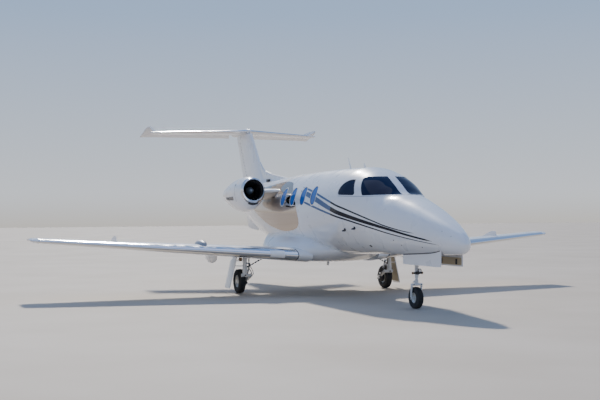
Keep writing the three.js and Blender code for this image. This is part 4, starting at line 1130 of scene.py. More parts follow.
def blob(centre, size, sides=24, rows=12):
    """An egg-shaped fairing."""
    rings = []
    for k in range(1, rows):
        t = math.pi * k / rows
        rings.append([(centre.x + size[0] * math.cos(t), centre.y + size[1] * math.sin(t) * math.cos(a),
                       centre.z + size[2] * math.sin(t) * math.sin(a))
                      for a in circle(sides)])
    return loft(rings)


def build_edge_fittings(word, side):
    new_piece(f"landing_lamp_{word}", *edge_patch(side, EDGE_LAMP, 0.035, 0.0015), "lamp_glass", "airframe")
    ring = edge_patch(side, EDGE_RING, LEADING_EDGE, 0.002)
    new_piece(f"edge_ring_{word}", *ring, "black", "airframe")
    centre = foil_point(row_at(WING, BUMP["y"]), WING_CAMBER, BUMP["share"], 1, side)
    # The wing bump's grey is painted shade.
    new_piece(f"wing_bump_{word}", *blob(centre, BUMP["size"]), "boot", "airframe")


FENCE_Y, FENCE_HALF = 4.5, 0.005
# Wing fence: share of the chord, height of its edge above the wing
FENCE = ((0.16, 0.0), (0.185, 0.075), (0.21, 0.108), (0.33, 0.104), (0.5, 0.06), (0.67, 0.012))


def build_fence(word, side):
    row = row_at(WING, FENCE_Y)
    top = []
    for share, height in FENCE:
        point = foil_point(row, WING_CAMBER, share, 1, side)
        top.append((NOSE_X - point.x, point.z + height))
    foot = [foil_point(row, WING_CAMBER, share, 0, side) for share in (FENCE[-1][0], FENCE[0][0])]
    outline = top + [(NOSE_X - p.x, p.z) for p in foot]
    low, high = sorted((side * (FENCE_Y - FENCE_HALF), side * (FENCE_Y + FENCE_HALF)))
    new_piece(f"wing_fence_{word}", *prism(outline, low, high), "paint", "airframe")


# Belly fairing, with the fuselage's columns
FAIRING = (
    (4.150, 1.000, 0.905, 0.250, 0.950, 2, 2.0),
    (4.450, 1.150, 0.810, 0.560, 0.950, 2, 2.4),
    (4.800, 1.290, 0.725, 0.830, 0.945, 2, 2.6),
    (5.200, 1.380, 0.690, 0.960, 0.935, 2, 2.8),
    (5.700, 1.420, 0.668, 1.010, 0.930, 2, 3.0),
    (6.300, 1.430, 0.645, 1.020, 0.930, 2, 3.0),
    (6.800, 1.430, 0.630, 1.000, 0.930, 2, 3.0),
    (7.200, 1.420, 0.720, 0.930, 0.960, 2, 2.8),
    (7.500, 1.400, 1.000, 0.700, 1.200, 2, 2.0),
    (7.800, 1.340, 1.120, 0.480, 1.230, 2, 2.0),
)


def build_fairing():
    reader = section_reader(FAIRING)
    stations = np.linspace(FAIRING[0][0], FAIRING[-1][0], 70)
    turns = ring_turns(96)
    rings = [[section_point(reader, float(s), t) for t in turns] for s in stations]
    fairing = new_piece("belly_fairing_skin", *loft(rings), "paint")
    carve(fairing, [well(space, side) for space in (LEG_SLOT, WHEEL_BAY) for _, side in SIDES])
    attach(fairing, "airframe")
    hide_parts("belly_fairing")


# Tail

FIN_ROOT = {"z": 2.35, "lead": 9.413, "trail": 11.128}
FIN_TOP = {"z": 3.820, "lead": 10.598, "trail": 11.810}
FIN_THICK = 0.10
RUDDER = ((10.924, 2.70), (11.506, 3.66))


def fin_edges(z):
    t = (z - FIN_ROOT["z"]) / (FIN_TOP["z"] - FIN_ROOT["z"])
    lead = FIN_ROOT["lead"] + t * (FIN_TOP["lead"] - FIN_ROOT["lead"])
    trail = FIN_ROOT["trail"] + t * (FIN_TOP["trail"] - FIN_ROOT["trail"])
    return lead, trail


def fin_solid():
    rings = []
    shares = chord_shares(CHORD_POINTS)
    for z in np.linspace(FIN_ROOT["z"], FIN_TOP["z"], 24):
        lead, trail = fin_edges(float(z))
        chord = trail - lead
        port = [(NOSE_X - lead - s * chord, foil_half(s, FIN_THICK, chord), float(z)) for s in shares]
        rings.append(port[::-1] + [(x, -y, z) for x, y, z in port[1:]])
    return loft(rings)


# Dorsal fin: height, station of its front edge
DORSAL = ((2.44, 7.60), (2.53, 7.86), (2.69, 9.01), (2.80, 9.54), (3.04, 9.92))
DORSAL_TRAIL = 10.3
DORSAL_ROUND = 0.16                 # share of the chord over which its front edge is round


def dorsal_solid():
    """The low fin that leads up to the main one, with a round upper edge."""
    edge = pchip(*zip(*DORSAL))
    rings = []
    for z in np.linspace(DORSAL[0][0], DORSAL[-1][0], 26):
        lead = edge(float(z))
        half = 0.027 + 0.05 * max(0, (2.62 - z) / 0.18) ** 2
        chord = DORSAL_TRAIL - lead
        port = [(NOSE_X - lead - s * chord, half * min(1, math.sqrt(s / DORSAL_ROUND)), float(z))
                for s in (0, 0.01, 0.03, 0.07, 0.14, 0.3, 1)]
        rings.append(port[::-1] + [(x, -y, z) for x, y, z in port[1:]])
    return loft(rings)


VENTRAL = ((9.70, 1.56), (10.14, 1.28), (10.84, 1.36), (10.93, 1.64), (10.93, 1.90), (9.90, 1.90))


def ventral_solid():
    """The small keel fin, thinner towards its edges."""
    outline = rounded(VENTRAL, 0.05)
    rings = [[(NOSE_X - s, y, z) for s, z in grown(outline, -inset)]
             for y, inset in ((-0.020, 0.012), (-0.012, 0), (0.012, 0), (0.020, 0.012))]
    return loft(rings)


# Tail bullet: distance aft of its tip, radius
BULLET = ((0, 0.002), (0.02, 0.022), (0.08, 0.046), (0.26, 0.080), (0.56, 0.094), (1.05, 0.090), (1.4, 0.060),
          (1.6, 0.004))


def build_tail():
    new_piece("ventral_fin", *ventral_solid(), "paint", "airframe")
    fin = fin_solid()
    ends = [Vector((NOSE_X - s, 0, z)) for s, z in RUDDER]
    radii = []
    for s, z in RUDDER:
        lead, trail = fin_edges(z)
        radii.append(foil_half((s - lead) / (trail - lead), FIN_THICK, trail - lead) * NOSE_FIT)
    rudder, cuts = split_round("rudder_skin", fin, ends, radii, 0.9, "paint", "rudder_panel")
    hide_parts("rudder")
    fixed = new_piece("fin_skin", *fin, "paint")
    carve(fixed, [dorsal_solid()], "UNION")
    carve(fixed, cuts)
    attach(fixed, "airframe")
    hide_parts("fin")

    spans = (0, 0.5, 1.0, 1.6, 2.1, 2.25, 2.4, 2.42, 2.44, 2.455, 2.465)
    both = [foil_ring(row_at(TAILPLANE, y), 0, -1) for y in spans[:0:-1]]
    both += [foil_ring(row_at(TAILPLANE, y), 0, 1) for y in spans]
    plane = loft(both)
    fixed = new_piece("tailplane_skin", *plane, "paint")
    all_cuts = []
    for word, side in SIDES:
        hinge = [foil_point(row_at(TAILPLANE, y), 0, TAILPLANE_HINGE, 0, side) for y in ELEVATOR_SPAN]
        radii = nose_radii(TAILPLANE, ELEVATOR_SPAN, TAILPLANE_HINGE)
        elevator, cuts = split_horn(f"elevator_{word}_skin", plane, hinge, radii, side * ELEVATOR_DROOP,
                                    "paint", f"{word}_elevator")
        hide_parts(f"elevator_{word}")
        all_cuts += cuts
    carve(fixed, all_cuts)
    fixed.data.materials.append(MAT["polished"])
    for face in fixed.data.polygons:
        y = abs(face.center.y)
        if 0.1 < y < 2.1:
            row = row_at(TAILPLANE, y)
            if (NOSE_X - face.center.x - row[1]) / row[2] < 0.09:
                face.material_index = 1
    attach(fixed, "airframe")
    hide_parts("tailplane")
    bullet = pchip(*zip(*BULLET))
    profile = [(bullet(a), a) for a in np.linspace(0, BULLET[-1][0], 60)]
    fairing = new_piece("tail_bullet", *lathe(profile, (NOSE_X - 10.68, 0, 3.890), (-1, 0, 0), 48), "paint")
    carve(fairing, [cuboid((NOSE_X - 12.9, -0.4, 3.6), (NOSE_X - 10.0, 0.4, FIN_TOP["z"] + 0.0004))])
    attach(fairing, "airframe")


# Engines

ENGINE = {"station": 6.74, "y": 1.30, "z": 2.24, "length": 1.95,
          "droop": math.radians(2.3), "toe": math.radians(3)}
LIP_DEPTH = 0.07
# Cowl outside: distance aft of the lip, radius above and beside the axis, depth below it
COWL = ((0, 0.243, 0.250), (0.02, 0.260, 0.276), (0.09, 0.285, 0.325), (0.30, 0.314, 0.425),
        (0.65, 0.322, 0.462), (1.05, 0.303, 0.425), (1.50, 0.258, 0.330), (1.95, 0.196, 0.200))
# Duct: distance aft of the lip, radius
DUCT = ((0.003, 0.237), (0.014, 0.231), (0.09, 0.226), (0.30, 0.266), (0.43, 0.266), (0.70, 0.270),
        (1.00, 0.262), (1.20, 0.262), (1.50, 0.226), (1.95, 0.178))
BLADES = 22
# A blade's section: shares of half its chord and of its half thickness
BLADE_SECTION = ((1, 0), (0.5, 1), (0, 1.3), (-0.5, 0.9), (-1, 0), (-0.5, -0.7), (0, -1), (0.5, -0.8))
BLADE_ROOT, BLADE_LONG = 0.075, 0.181
# Spinner: radius, distance aft of the lip
SPINNER = ((0.001, 0.186), (0.018, 0.190), (0.034, 0.205), (0.052, 0.232), (0.066, 0.26), (0.078, 0.30),
           (0.084, 0.335), (0.084, 0.395), (0.04, 0.40), (0.001, 0.40))


def engine_frame(side):
    """The lip's centre and the directions aft, outboard and up of one engine."""
    droop, toe = ENGINE["droop"], side * ENGINE["toe"]
    origin = Vector((NOSE_X - ENGINE["station"], side * ENGINE["y"], ENGINE["z"]))
    aft = Vector((-math.cos(droop) * math.cos(toe), -math.cos(droop) * math.sin(toe), -math.sin(droop)))
    up = Vector((-math.sin(droop) * math.cos(toe), -math.sin(droop) * math.sin(toe), math.cos(droop)))
    return origin, aft, aft.cross(up).normalized() * side, up


cowl_radius = pchip([row[0] for row in COWL], [row[1] for row in COWL])
cowl_depth = pchip([row[0] for row in COWL], [row[2] for row in COWL])
duct_radius = pchip([row[0] for row in DUCT], [row[1] for row in DUCT])


def cowl_point(side, aft_by, turn, lift=0.0):
    """A point of the cowl's outside; the turn goes from outboard up."""
    origin, aft, out, up = engine_frame(side)
    tall = cowl_radius(aft_by) if math.sin(turn) > 0 else cowl_depth(aft_by)
    return (origin + aft * aft_by + out * (cowl_radius(aft_by) + lift) * math.cos(turn)
            + up * (tall + lift) * math.sin(turn))


def cowl_skin(side, sides):
    origin, aft, out, up = engine_frame(side)
    turns = circle(sides)
    end = ENGINE["length"]
    outside = [0.09 * t ** 2 for t in np.linspace(0, 1, 12)] + list(np.linspace(0.13, end, 44))
    inside = list(np.linspace(end, 0.12, 40)) + [0.09, 0.06, 0.03, 0.014, 0.003]
    rings = [[cowl_point(side, float(a), t) for t in turns] for a in outside]
    rings += [round_ring(origin + aft * float(a), out, up, duct_radius(float(a)), sides) for a in inside]
    return loft(rings + rings[:1], caps=False)


def build_fan(word, side):
    origin, aft, across, up = engine_frame(side)
    blades = []
    for i in range(BLADES):
        turn = 2 * math.pi * i / BLADES
        out = across * math.cos(turn) + up * math.sin(turn)
        round_ = aft.cross(out)
        rings = []
        for t in np.linspace(0, 1, 9):
            radius = BLADE_ROOT + t * BLADE_LONG
            pitch = math.radians(28 + 34 * t)
            chord = 0.058 + 0.030 * t
            lean = out * radius + round_ * (0.012 * math.sin(math.pi * t)) + aft * (0.362 + 0.006 * t)
            fore = (-aft * math.cos(pitch) + round_ * math.sin(pitch)) * chord / 2
            thick = fore.cross(out).normalized() * (0.0035 - 0.0015 * t)
            ring = []
            for a, b in BLADE_SECTION:
                ring.append(origin + lean + fore * a + thick * b + round_ * 0.004 * (1 - a * a))
            rings.append(ring)
        blades.append(loft(rings))
    fan = new_piece(f"fan_{word}_blades", *merged(blades), "fan", f"{word}_fan")
    new_piece(f"spinner_{word}", *lathe(SPINNER, origin, aft, 48), "spinner", f"{word}_fan")
    swirl = []
    for t in np.linspace(0, 1, 16):
        turn = 0.6 + 2.6 * t
        radius = 0.022 + 0.050 * t
        depth = 0.192 + 0.090 * t - 0.004
        swirl.append(origin + aft * depth + (across * math.cos(turn) + up * math.sin(turn)) * radius)
    new_piece(f"spinner_mark_{word}", *tube(swirl, 0.004, 8), "lens", f"{word}_fan")
    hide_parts(f"fan_{word}")


# Engine core: radius, distance aft of the lip
CORE = ((0.001, 0.407), (0.15, 0.407), (0.2, 0.48), (0.2, 0.9), (0.175, 1.25), (0.13, 1.55), (0.126, 1.56),
        (0.09, 1.63), (0.045, 1.75), (0.003, 1.79))
# A guide vane's section: distance aft of the lip, half thickness
VANE_SECTION = ((1.045, 0), (1.06, 0.006), (1.10, 0.006), (1.155, 0), (1.10, -0.006), (1.06, -0.006))


def build_engine(word, side):
    origin, aft, across, up = engine_frame(side)
    skin = cowl_skin(side, 112)
    cowl = new_piece(f"nacelle_{word}_skin", *skin, "paint", "airframe")
    cowl.data.materials.append(MAT["polished"])
    cowl.data.materials.append(MAT["duct"])
    for face in cowl.data.polygons:
        offset = face.center - origin
        depth = offset.dot(aft)
        radius = (offset - aft * depth).length
        if depth < LIP_DEPTH:
            face.material_index = 1
        elif radius < duct_radius(min(max(depth, 0.003), ENGINE["length"])) + 0.004:
            face.material_index = 2
    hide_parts(f"nacelle_{word}", f"intake_lip_{word}")
    block = new_piece(f"engine_core_{word}_skin", *lathe(CORE, origin, aft, 48), "hot", "airframe")
    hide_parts(f"engine_core_{word}")
    vanes = []
    for i in range(12):
        turn = 2 * math.pi * (i + 0.5) / 12
        out = across * math.cos(turn) + up * math.sin(turn)
        lean = aft.cross(out)
        rings = []
        for radius in (0.18, 0.262):
            middle = origin + out * radius
            rings.append([middle + aft * a + lean * b for a, b in VANE_SECTION])
        vanes.append(loft(rings))
    new_piece(f"engine_vanes_{word}", *merged(vanes), "duct", "airframe")
    build_fan(word, side)
    build_pylon(word, side)
    build_cowl_fittings(word, side)


# Pylon: distance from the centreline, leading-edge station, thickness
PYLON = ((0.48, 6.50, 0.05), (0.75, 6.60, 0.05), (0.95, 7.30, 0.075), (1.06, 7.45, 0.085))
PYLON_TRAIL = 8.65
PYLON_Z = 2.225


def build_pylon(word, side):
    rings = []
    shares = chord_shares(28)
    for y in np.linspace(PYLON[0][0], PYLON[-1][0], 20):
        _, lead, thick = row_at(PYLON, y)
        chord = PYLON_TRAIL - lead
        faces = [[(NOSE_X - lead - s * chord, side * float(y), PYLON_Z + level * foil_half(s, thick, chord))
                  for s in shares] for level in (1, -1)]
        rings.append(faces[0][::-1] + faces[1][1:])
    pylon = new_piece(f"pylon_{word}_skin", *loft(rings), "paint", "airframe")
    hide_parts(f"pylon_{word}")


# Landing gear

NOSE_WHEEL = {"station": 1.75, "y": 0.0, "radius": 0.195, "width": 0.13, "bead": 0.092, "bore": 0.0175,
              "grooves": 3}
MAIN_WHEEL = {"station": 6.41, "y": 1.755, "radius": 0.26, "width": 0.15, "bead": 0.131, "bore": 0.0262,
              "grooves": 4}
# Tyre wall: share of the wall's height, share of the half width
TYRE_WALL = ((0.0, 0.70), (0.10, 0.86), (0.28, 0.955), (0.50, 0.985), (0.70, 0.96), (0.85, 0.87),
             (0.95, 0.73))
GROOVE = {"depth": 0.007, "top": 0.0038, "floor": 0.0026}
# Rim: distance from the axle as a share of the bead, share of the half width, outboard side first
RIM_FACE = ((0.38, 0.70), (0.41, 0.58), (0.50, 0.30), (0.74, 0.26), (0.86, 0.40), (0.93, 0.66), (0.975, 0.70))


def tyre(wheel, centre, axis):
    """A tyre with grooves round its tread."""
    half, bead = wheel["width"] / 2, wheel["bead"]
    wall = wheel["radius"] - bead
    left = [(bead + wall * h, -half * w) for h, w in TYRE_WALL]
    span = 0.62 * half
    tread = []
    for k in range(wheel["grooves"]):
        middle = span * (2 * (k + 0.5) / wheel["grooves"] - 1)
        crown = wheel["radius"] - 0.006 * (middle / span) ** 2
        tread += [(crown, middle - GROOVE["top"]), (crown - GROOVE["depth"], middle - GROOVE["floor"]),
                  (crown - GROOVE["depth"], middle + GROOVE["floor"]), (crown, middle + GROOVE["top"])]
    right = [(r, -a) for r, a in reversed(left)]
    return lathe(left + tread + right, centre, axis, 96, closed=True)


def rim(wheel, centre, axis):
    """A wheel rim, dished on both sides."""
    half, bead, bore = wheel["width"] / 2, wheel["bead"], wheel["bore"]
    edge = half * RIM_FACE[-1][1]
    face = [(bead * r, half * w) for r, w in RIM_FACE]
    back = [(r, -a) for r, a in reversed(face)]
    seat = [(bead * 0.996, edge), (bead * 0.996, -edge)]
    return lathe([(bore, edge)] + face + seat + back + [(bore, -edge)], centre, axis, 72, closed=True)


def round_the(axle, axis, count, radius, turn=0.0):
    """Places evenly round an axle."""
    up = Vector((0, 0, 1))
    ahead = axis.cross(up).normalized()
    for k in range(count):
        angle = turn + 2 * math.pi * k / count
        yield axle + (up * math.cos(angle) + ahead * math.sin(angle)) * radius


def build_wheel(name, wheel, side, body):
    axis = Vector((0, side, 0))
    axle = at(wheel["station"], side * wheel["y"], wheel["radius"])
    half, bead = wheel["width"] / 2, wheel["bead"]
    rubber = new_piece(f"{name}_tyre_skin", *tyre(wheel, axle, axis), "rubber", body)
    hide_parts(f"{name}_tyre")
    disc = new_piece(f"{name}_rim_skin", *rim(wheel, axle, axis), "rim")
    carve(disc, [rod(hole - axis * 0.1, hole + axis * 0.1, bead * 0.105, sides=16)
                 for hole in round_the(axle, axis, 9, bead * 0.68)])
    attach(disc, body)
    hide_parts(f"{name}_rim")
    bolts = [rod(spot + axis * half * 0.2, spot + axis * half * 0.46, 0.0045, sides=8)
             for spot in round_the(axle, axis, 9, bead * 0.50, 0.35)]
    new_piece(f"{name}_rim_bolts", *merged(bolts), "steel", body)


MAIN_LEG = {"station": 6.135, "y": 1.725, "top": 0.8646, "foot": 0.400}
ARM_Y = 1.622
SHOCK = {"top": 0.650, "station": 6.290, "z": 0.330}
# Strut: distance down from its top, radius
MAIN_STRUT = ((0.0, 0.044), (0.050, 0.044), (0.056, 0.050), (0.085, 0.050), (0.091, 0.044), (0.290, 0.044),
              (0.320, 0.050), (0.430, 0.052), (0.470, 0.044))
# Brake: radius, distance outboard of the wheel's middle
BRAKE = ((0.03, -0.147), (0.082, -0.147), (0.088, -0.138), (0.088, -0.116), (0.108, -0.110),
         (0.108, -0.066), (0.03, -0.066))
# Rods across each main leg: station, ends, height, radius, sides
MAIN_CROSS = (
    (6.135, (1.590, 1.798), 0.400, 0.034, 32),      # pivot at the strut's foot, with two collars
    (6.135, (1.588, 1.600), 0.400, 0.038, 32),
    (6.135, (1.786, 1.800), 0.400, 0.038, 32),
    (6.410, (1.592, 1.650), 0.260, 0.046, 32),      # boss round the axle
    (6.135, (1.725, 1.608), 0.650, 0.016, 20),      # upper and lower pin of the shock absorber
    (6.290, (1.602, 1.642), 0.330, 0.018, 20),
)
# Ends of the brace, and its sleeves
BRACE = ((6.135, 1.705, 0.560), (6.095, 1.150, 0.847))
SLEEVES = 9
# Brake pipes: radius, and points as station, distance from the centreline, height
BRAKE_PIPES = (
    (0.008, ((6.10, 1.675, 0.845), (6.085, 1.645, 0.74), (6.085, 1.655, 0.64), (6.10, 1.64, 0.55),
             (6.12, 1.585, 0.46), (6.19, 1.565, 0.38), (6.34, 1.585, 0.31))),
    (0.007, ((6.09, 1.690, 0.845), (6.075, 1.665, 0.72), (6.075, 1.630, 0.60), (6.09, 1.565, 0.50),
             (6.12, 1.545, 0.42), (6.22, 1.570, 0.34), (6.36, 1.585, 0.27))),
)
DOOR_TOP, DOOR_BOTTOM, DOOR_Y, DOOR_LEAN = 0.80, 0.12, 1.880, 0.160
# Main gear door: height, front and rear stations
DOOR_EDGES = ((0.80, 6.190, 6.385), (0.745, 6.192, 6.47), (0.690, 6.195, 6.552), (0.60, 6.197, 6.56),
              (0.30, 6.208, 6.56), (0.16, 6.214, 6.56), (0.135, 6.22, 6.553), (0.120, 6.24, 6.53))


def door_y(z):
    """Distance of a main gear door from the centreline at a height."""
    return DOOR_Y + DOOR_LEAN * (DOOR_TOP - z) / (DOOR_TOP - DOOR_BOTTOM)


def build_main_gear(word, side):
    def p(station, y, z):
        return at(station, side * y, z)
    station, radius = MAIN_WHEEL["station"], MAIN_WHEEL["radius"]
    leg_s, leg_y, foot = MAIN_LEG["station"], MAIN_LEG["y"], MAIN_LEG["foot"]
    shock_top, shock_foot = p(leg_s, ARM_Y, SHOCK["top"]), p(SHOCK["station"], ARM_Y, SHOCK["z"])
    brace_foot, brace_top = (p(*end) for end in BRACE)
    middle = shock_top.lerp(shock_foot, 0.55)
    parts = [
        turned_post(MAIN_STRUT, p(leg_s, leg_y, MAIN_LEG["top"]), 40),
        rod(p(leg_s, ARM_Y, foot), p(station, ARM_Y, radius), 0.031, 0.027, 28),
        rod(shock_top, middle, 0.020, sides=24),
    ]
    parts += [across(*row, side=side) for row in MAIN_CROSS]
    strut = new_piece(f"main_gear_leg_{word}_skin", *merged(parts), "gear", "airframe")
    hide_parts(f"main_gear_leg_{word}")
    bright = [rod(middle, shock_foot, 0.012, sides=20),
              across(station, (ARM_Y, 1.814), radius, 0.0250, 24, side),
              rod(brace_foot, brace_top, 0.009)]
    new_piece(f"main_gear_bright_{word}", *merged(bright), "steel", "airframe")
    brake = lathe(BRAKE, p(station, MAIN_WHEEL["y"], radius), (0, side, 0), 48, True)
    pistons = [rod(spot, spot + Vector((0, side * 0.03, 0)), 0.017, sides=16)
               for spot in round_the(p(station, 1.592, radius), Vector((0, side, 0)), 5, 0.068, 0.4)]
    new_piece(f"brake_{word}", *merged([brake] + pistons), "black", "airframe")
    dark = [rod(p(leg_s - 0.030, leg_y, foot), p(leg_s - 0.053, leg_y, foot), 0.015)]
    dark += [tube([p(*point) for point in points], thick, 12) for thick, points in BRAKE_PIPES]
    for k in range(SLEEVES):
        start, end = (brace_foot.lerp(brace_top, (k + share) / SLEEVES) for share in (0.30, 0.85))
        dark.append(rod(start, end, 0.0145, sides=16))
    new_piece(f"main_gear_hoses_{word}", *merged(dark), "hose", "airframe")
    bracket = [box(p(6.115, 1.795, 0.700), p(6.155, 1.850, 0.815), 0.006),
               across(leg_s, (1.760, 1.872), 0.745, 0.010, side=side)]
    new_piece(f"door_bracket_{word}", *merged(bracket), "bronze", "airframe")

    rings = []
    for z, fore, back in DOOR_EDGES:
        y = door_y(z)
        face = [(fore, 0.008), (fore + 0.004, 0.009), (back - 0.004, 0.009), (back, 0.008)]
        rings.append([p(s, y - d, z) for s, d in face] + [p(s, y + d, z) for s, d in face[::-1]])
    door = new_piece(f"main_gear_door_{word}_skin", *loft(rings), "paint", "airframe")
    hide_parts(f"main_gear_door_{word}")
    # A brown sheet on the door's inner face: painted shade.
    inner = []
    for z, fore, back in DOOR_EDGES[1:-2]:
        y = door_y(z)
        inner.append([p(fore + 0.02, y - 0.0125, z), p(back - 0.02, y - 0.0125, z),
                      p(back - 0.02, y - 0.0085, z), p(fore + 0.02, y - 0.0085, z)])
    new_piece(f"main_gear_door_{word}_inner", *loft(inner), "door_inner", "airframe")
    arms = [tube([p(leg_s, 1.770, z), p(leg_s, 1.860, z), p(6.160, 1.895, z), p(6.235, door_y(z) - 0.006, z)],
                 0.009) for z in (0.600, 0.710)]
    new_piece(f"main_gear_door_{word}_arms", *merged(arms), "gear", "airframe")


STEER = 1.72
BAY_ROOF = 1.0696
FORK_Y = 0.097                      # distance of the fork's blades from the centreline
# Nose strut: distance down from the bay's roof, radius
NOSE_STRUT = ((0.0, 0.036), (0.100, 0.036), (0.106, 0.042), (0.150, 0.042), (0.156, 0.036), (0.380, 0.036),
              (0.386, 0.033), (0.509, 0.033))
# Fork crown: distance down from the strut's foot, radius
NOSE_FORK = ((0.0, 0.027), (0.050, 0.027), (0.060, 0.035), (0.095, 0.035), (0.110, 0.028), (0.120, 0.028))
# Taxi lamp, body and glass: radius, distance aft of its front
TAXI_LAMP = ((0.001, 0.002), (0.028, 0.002), (0.033, -0.002), (0.034, 0.020), (0.024, 0.046), (0.001, 0.052))
TAXI_GLASS = ((0.001, -0.001), (0.026, -0.0005), (0.026, 0.004), (0.001, 0.004))
LAMP_AT, MOTOR_AT = (1.595, 0.690), (1.690, 0.640)
# Torque links: pairs of station and height
TORQUE_LINKS = (((1.756, 0.520), (1.815, 0.475)), ((1.815, 0.475), (1.752, 0.430)))


def build_nose_gear():
    axle, wheel_s = NOSE_WHEEL["radius"], NOSE_WHEEL["station"]
    lamp_s, lamp_z = LAMP_AT
    motor_s, motor_z = MOTOR_AT
    leg = [
        turned_post(NOSE_STRUT, at(STEER, 0, BAY_ROOF), 40),
        across(STEER, (-0.149, 0.149), 1.01, 0.023),
        rod(at(STEER, 0, 0.740), at(1.400, 0, 1.046), 0.017),
        rod(at(STEER, 0, lamp_z), at(1.640, 0, lamp_z), 0.013),
        across(STEER, (-0.034, 0.034), 0.785, 0.020),
    ]
    skin = new_piece("nose_gear_leg_skin", *merged(leg), "gear", "airframe")
    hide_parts("nose_gear_leg")
    for part, profile, material in (("body", TAXI_LAMP, "black"), ("glass", TAXI_GLASS, "lamp_glass")):
        mesh = lathe(profile, at(lamp_s, 0, lamp_z), (-1, 0, 0), 32)
        new_piece(f"taxi_lamp_{part}", *mesh, material, "airframe")
    motor = [across(motor_s, (-0.085, 0.085), motor_z, 0.019),
             box(at(1.665, -0.030, 0.612), at(1.715, 0.030, 0.668), 0.008)]
    new_piece("steering_motor", *merged(motor), "black", "airframe")
    ends = [across(motor_s, (y, y + 0.02), motor_z, 0.022) for y in (-0.105, 0.085)]
    new_piece("steering_ends", *merged(ends), "bronze", "airframe")

    fork = [
        turned_post(NOSE_FORK, at(STEER, 0, 0.5590), 36),
        box(at(1.682, -0.112, 0.412), at(1.758, 0.112, 0.455), 0.016),
        across(wheel_s, (-0.107, 0.107), axle, 0.0160),
    ]
    for y in (-FORK_Y, FORK_Y):
        fork.append(rod(at(STEER, y, 0.432), at(1.742, y, 0.300), 0.021, 0.017, 18))
        fork.append(rod(at(1.742, y, 0.302), at(wheel_s, y, axle), 0.017, 0.015, 18))
        fork.append(across(wheel_s, (y - 0.010, y + 0.010), axle, 0.026, 24))
    for (s0, z0), (s1, z1) in TORQUE_LINKS:
        fork.append(rod(at(s0, 0, z0), at(s1, 0, z1), 0.010, sides=12))
    fork.append(across(1.815, (-0.022, 0.022), 0.475, 0.012, 14))
    body = new_piece("nose_gear_fork_skin", *merged(fork), "gear", "steered_fork")
    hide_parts("nose_gear_fork")
    pins = [across(wheel_s, (0.107, 0.115), axle, 0.011, side=side) for side in (-1, 1)]
    pins += [rod(at(1.690, y, 0.434), at(1.676, y, 0.434), 0.010) for y in (-0.075, 0.075)]
    new_piece("nose_fork_pins", *merged(pins), "black", "steered_fork")
    build_wheel("nose", NOSE_WHEEL, 1, "nose_wheel")

    outline = rounded([(0.50, 0.80), (1.83, 0.80), (1.83, 1.15), (0.50, 1.15)], 0.03)
    inside = rounded([(0.53, 0.825), (1.80, 0.825), (1.80, 0.95), (0.53, 0.95)], 0.02)
    for word, side in SIDES:
        low, high = sorted((side * 0.2025, side * 0.2145))
        door = new_piece(f"nose_gear_door_{word}_skin", *prism(outline, low, high), "paint")
        carve(door, [hull_solid(0.4, 2.0, -0.0006, sides=64, step=0.1)])
        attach(door, "airframe")
        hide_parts(f"nose_gear_door_{word}")
        # A brown sheet on the door's inner face: painted shade.
        low, high = sorted((side * 0.1985, side * 0.2023))
        new_piece(f"nose_gear_door_{word}_inner", *prism(inside, low, high), "door_inner", "airframe")
        ribs = [box(at(s, side * 0.186, 0.835), at(s + 0.045, side * 0.198, 0.925), 0.004)
                for s in (0.66, 1.15, 1.62)]
        new_piece(f"nose_gear_door_{word}_ribs", *merged(ribs), "black", "airframe")
        # A black tube along each door's top edge: painted shade in the gap between door and belly.
        seam = []
        for s in np.linspace(0.52, 1.81, 30):
            seam.append(at(float(s), side * 0.2125, belly_z(float(s), 0.2125) - 0.007))
        new_piece(f"nose_gear_door_{word}_gap", *tube(seam, 0.0085, 8), "black", "airframe")


def belly_z(station, y):
    """Height of the fuselage's underside at a distance from the centreline."""
    _, bottom, half, waist, _, lower = fuselage_at(station)
    return waist - (waist - bottom) * (1 - min(abs(y) / half, 1) ** lower) ** (1 / lower)


# Cabin

CHANNEL = {"depth": 0.010, "width": 0.07}   # the width is a share of half the pad's length


def pad(centre, size, turn, channels=(), crown=0.2, rows=18, sides=48):
    """A stuffed cushion: rounded, crowned, with sides pulled in and sewn channels across it."""
    a, b, c = (0.5 * v for v in size)
    rings = []
    for k in range(1, rows):
        tilt = math.pi * (k / rows - 0.5)
        ring = []
        for i in range(sides):
            t = 2 * math.pi * (i + 0.5) / sides
            flat = abs(math.cos(tilt)) ** 0.40
            pull = 1 - 0.035 * (1 - abs(math.sin(2 * t)) ** 0.5)
            x = a * flat * pull * math.copysign(abs(math.cos(t)) ** 0.40, math.cos(t))
            y = b * flat * pull * math.copysign(abs(math.sin(t)) ** 0.40, math.sin(t))
            z = c * math.copysign(abs(math.sin(tilt)) ** 0.55, math.sin(tilt))
            z *= 1 - crown + crown * (1 - (x / a) ** 2) * (1 - (y / b) ** 2)
            for line in channels:
                deep = CHANNEL["depth"] * math.exp(-((x / a - line) / CHANNEL["width"]) ** 2)
                z -= math.copysign(deep, z) * min(1, abs(z) / c * 1.6)
            ring.append(Vector((x, y, z)))
        rings.append(ring)
    return loft([[Vector(centre) + turn @ point for point in ring] for ring in rings])


# Seats: station of the seat's front edge, distance from the centreline, +1 for facing ahead
SEATS = {
    "cockpit_seats": ((2.70, 0.30, 1), (2.70, -0.30, 1)),
    "cabin_seats": ((5.06, 0.40, -1), (5.06, -0.40, -1), (5.54, 0.40, 1), (5.54, -0.40, 1)),
}
SEAT_RAILS = {"cockpit_seats": (2.75, 3.18), "cabin_seats": (4.56, 6.04)}
# Seat pads: name, distance behind the front edge, height, size, whether upright, channels, fill
SEAT_PADS = (
    ("cushion", 0.225, 1.460, (0.44, 0.44, 0.118), False, (-0.4, 0.1, 0.6), 0.7),
    ("back", 0.475, 1.750, (0.60, 0.44, 0.124), True, (-0.55, -0.15, 0.25, 0.65), 0.7),
    ("headrest", 0.475, 2.130, (0.15, 0.25, 0.100), True, (), 0.8),
)


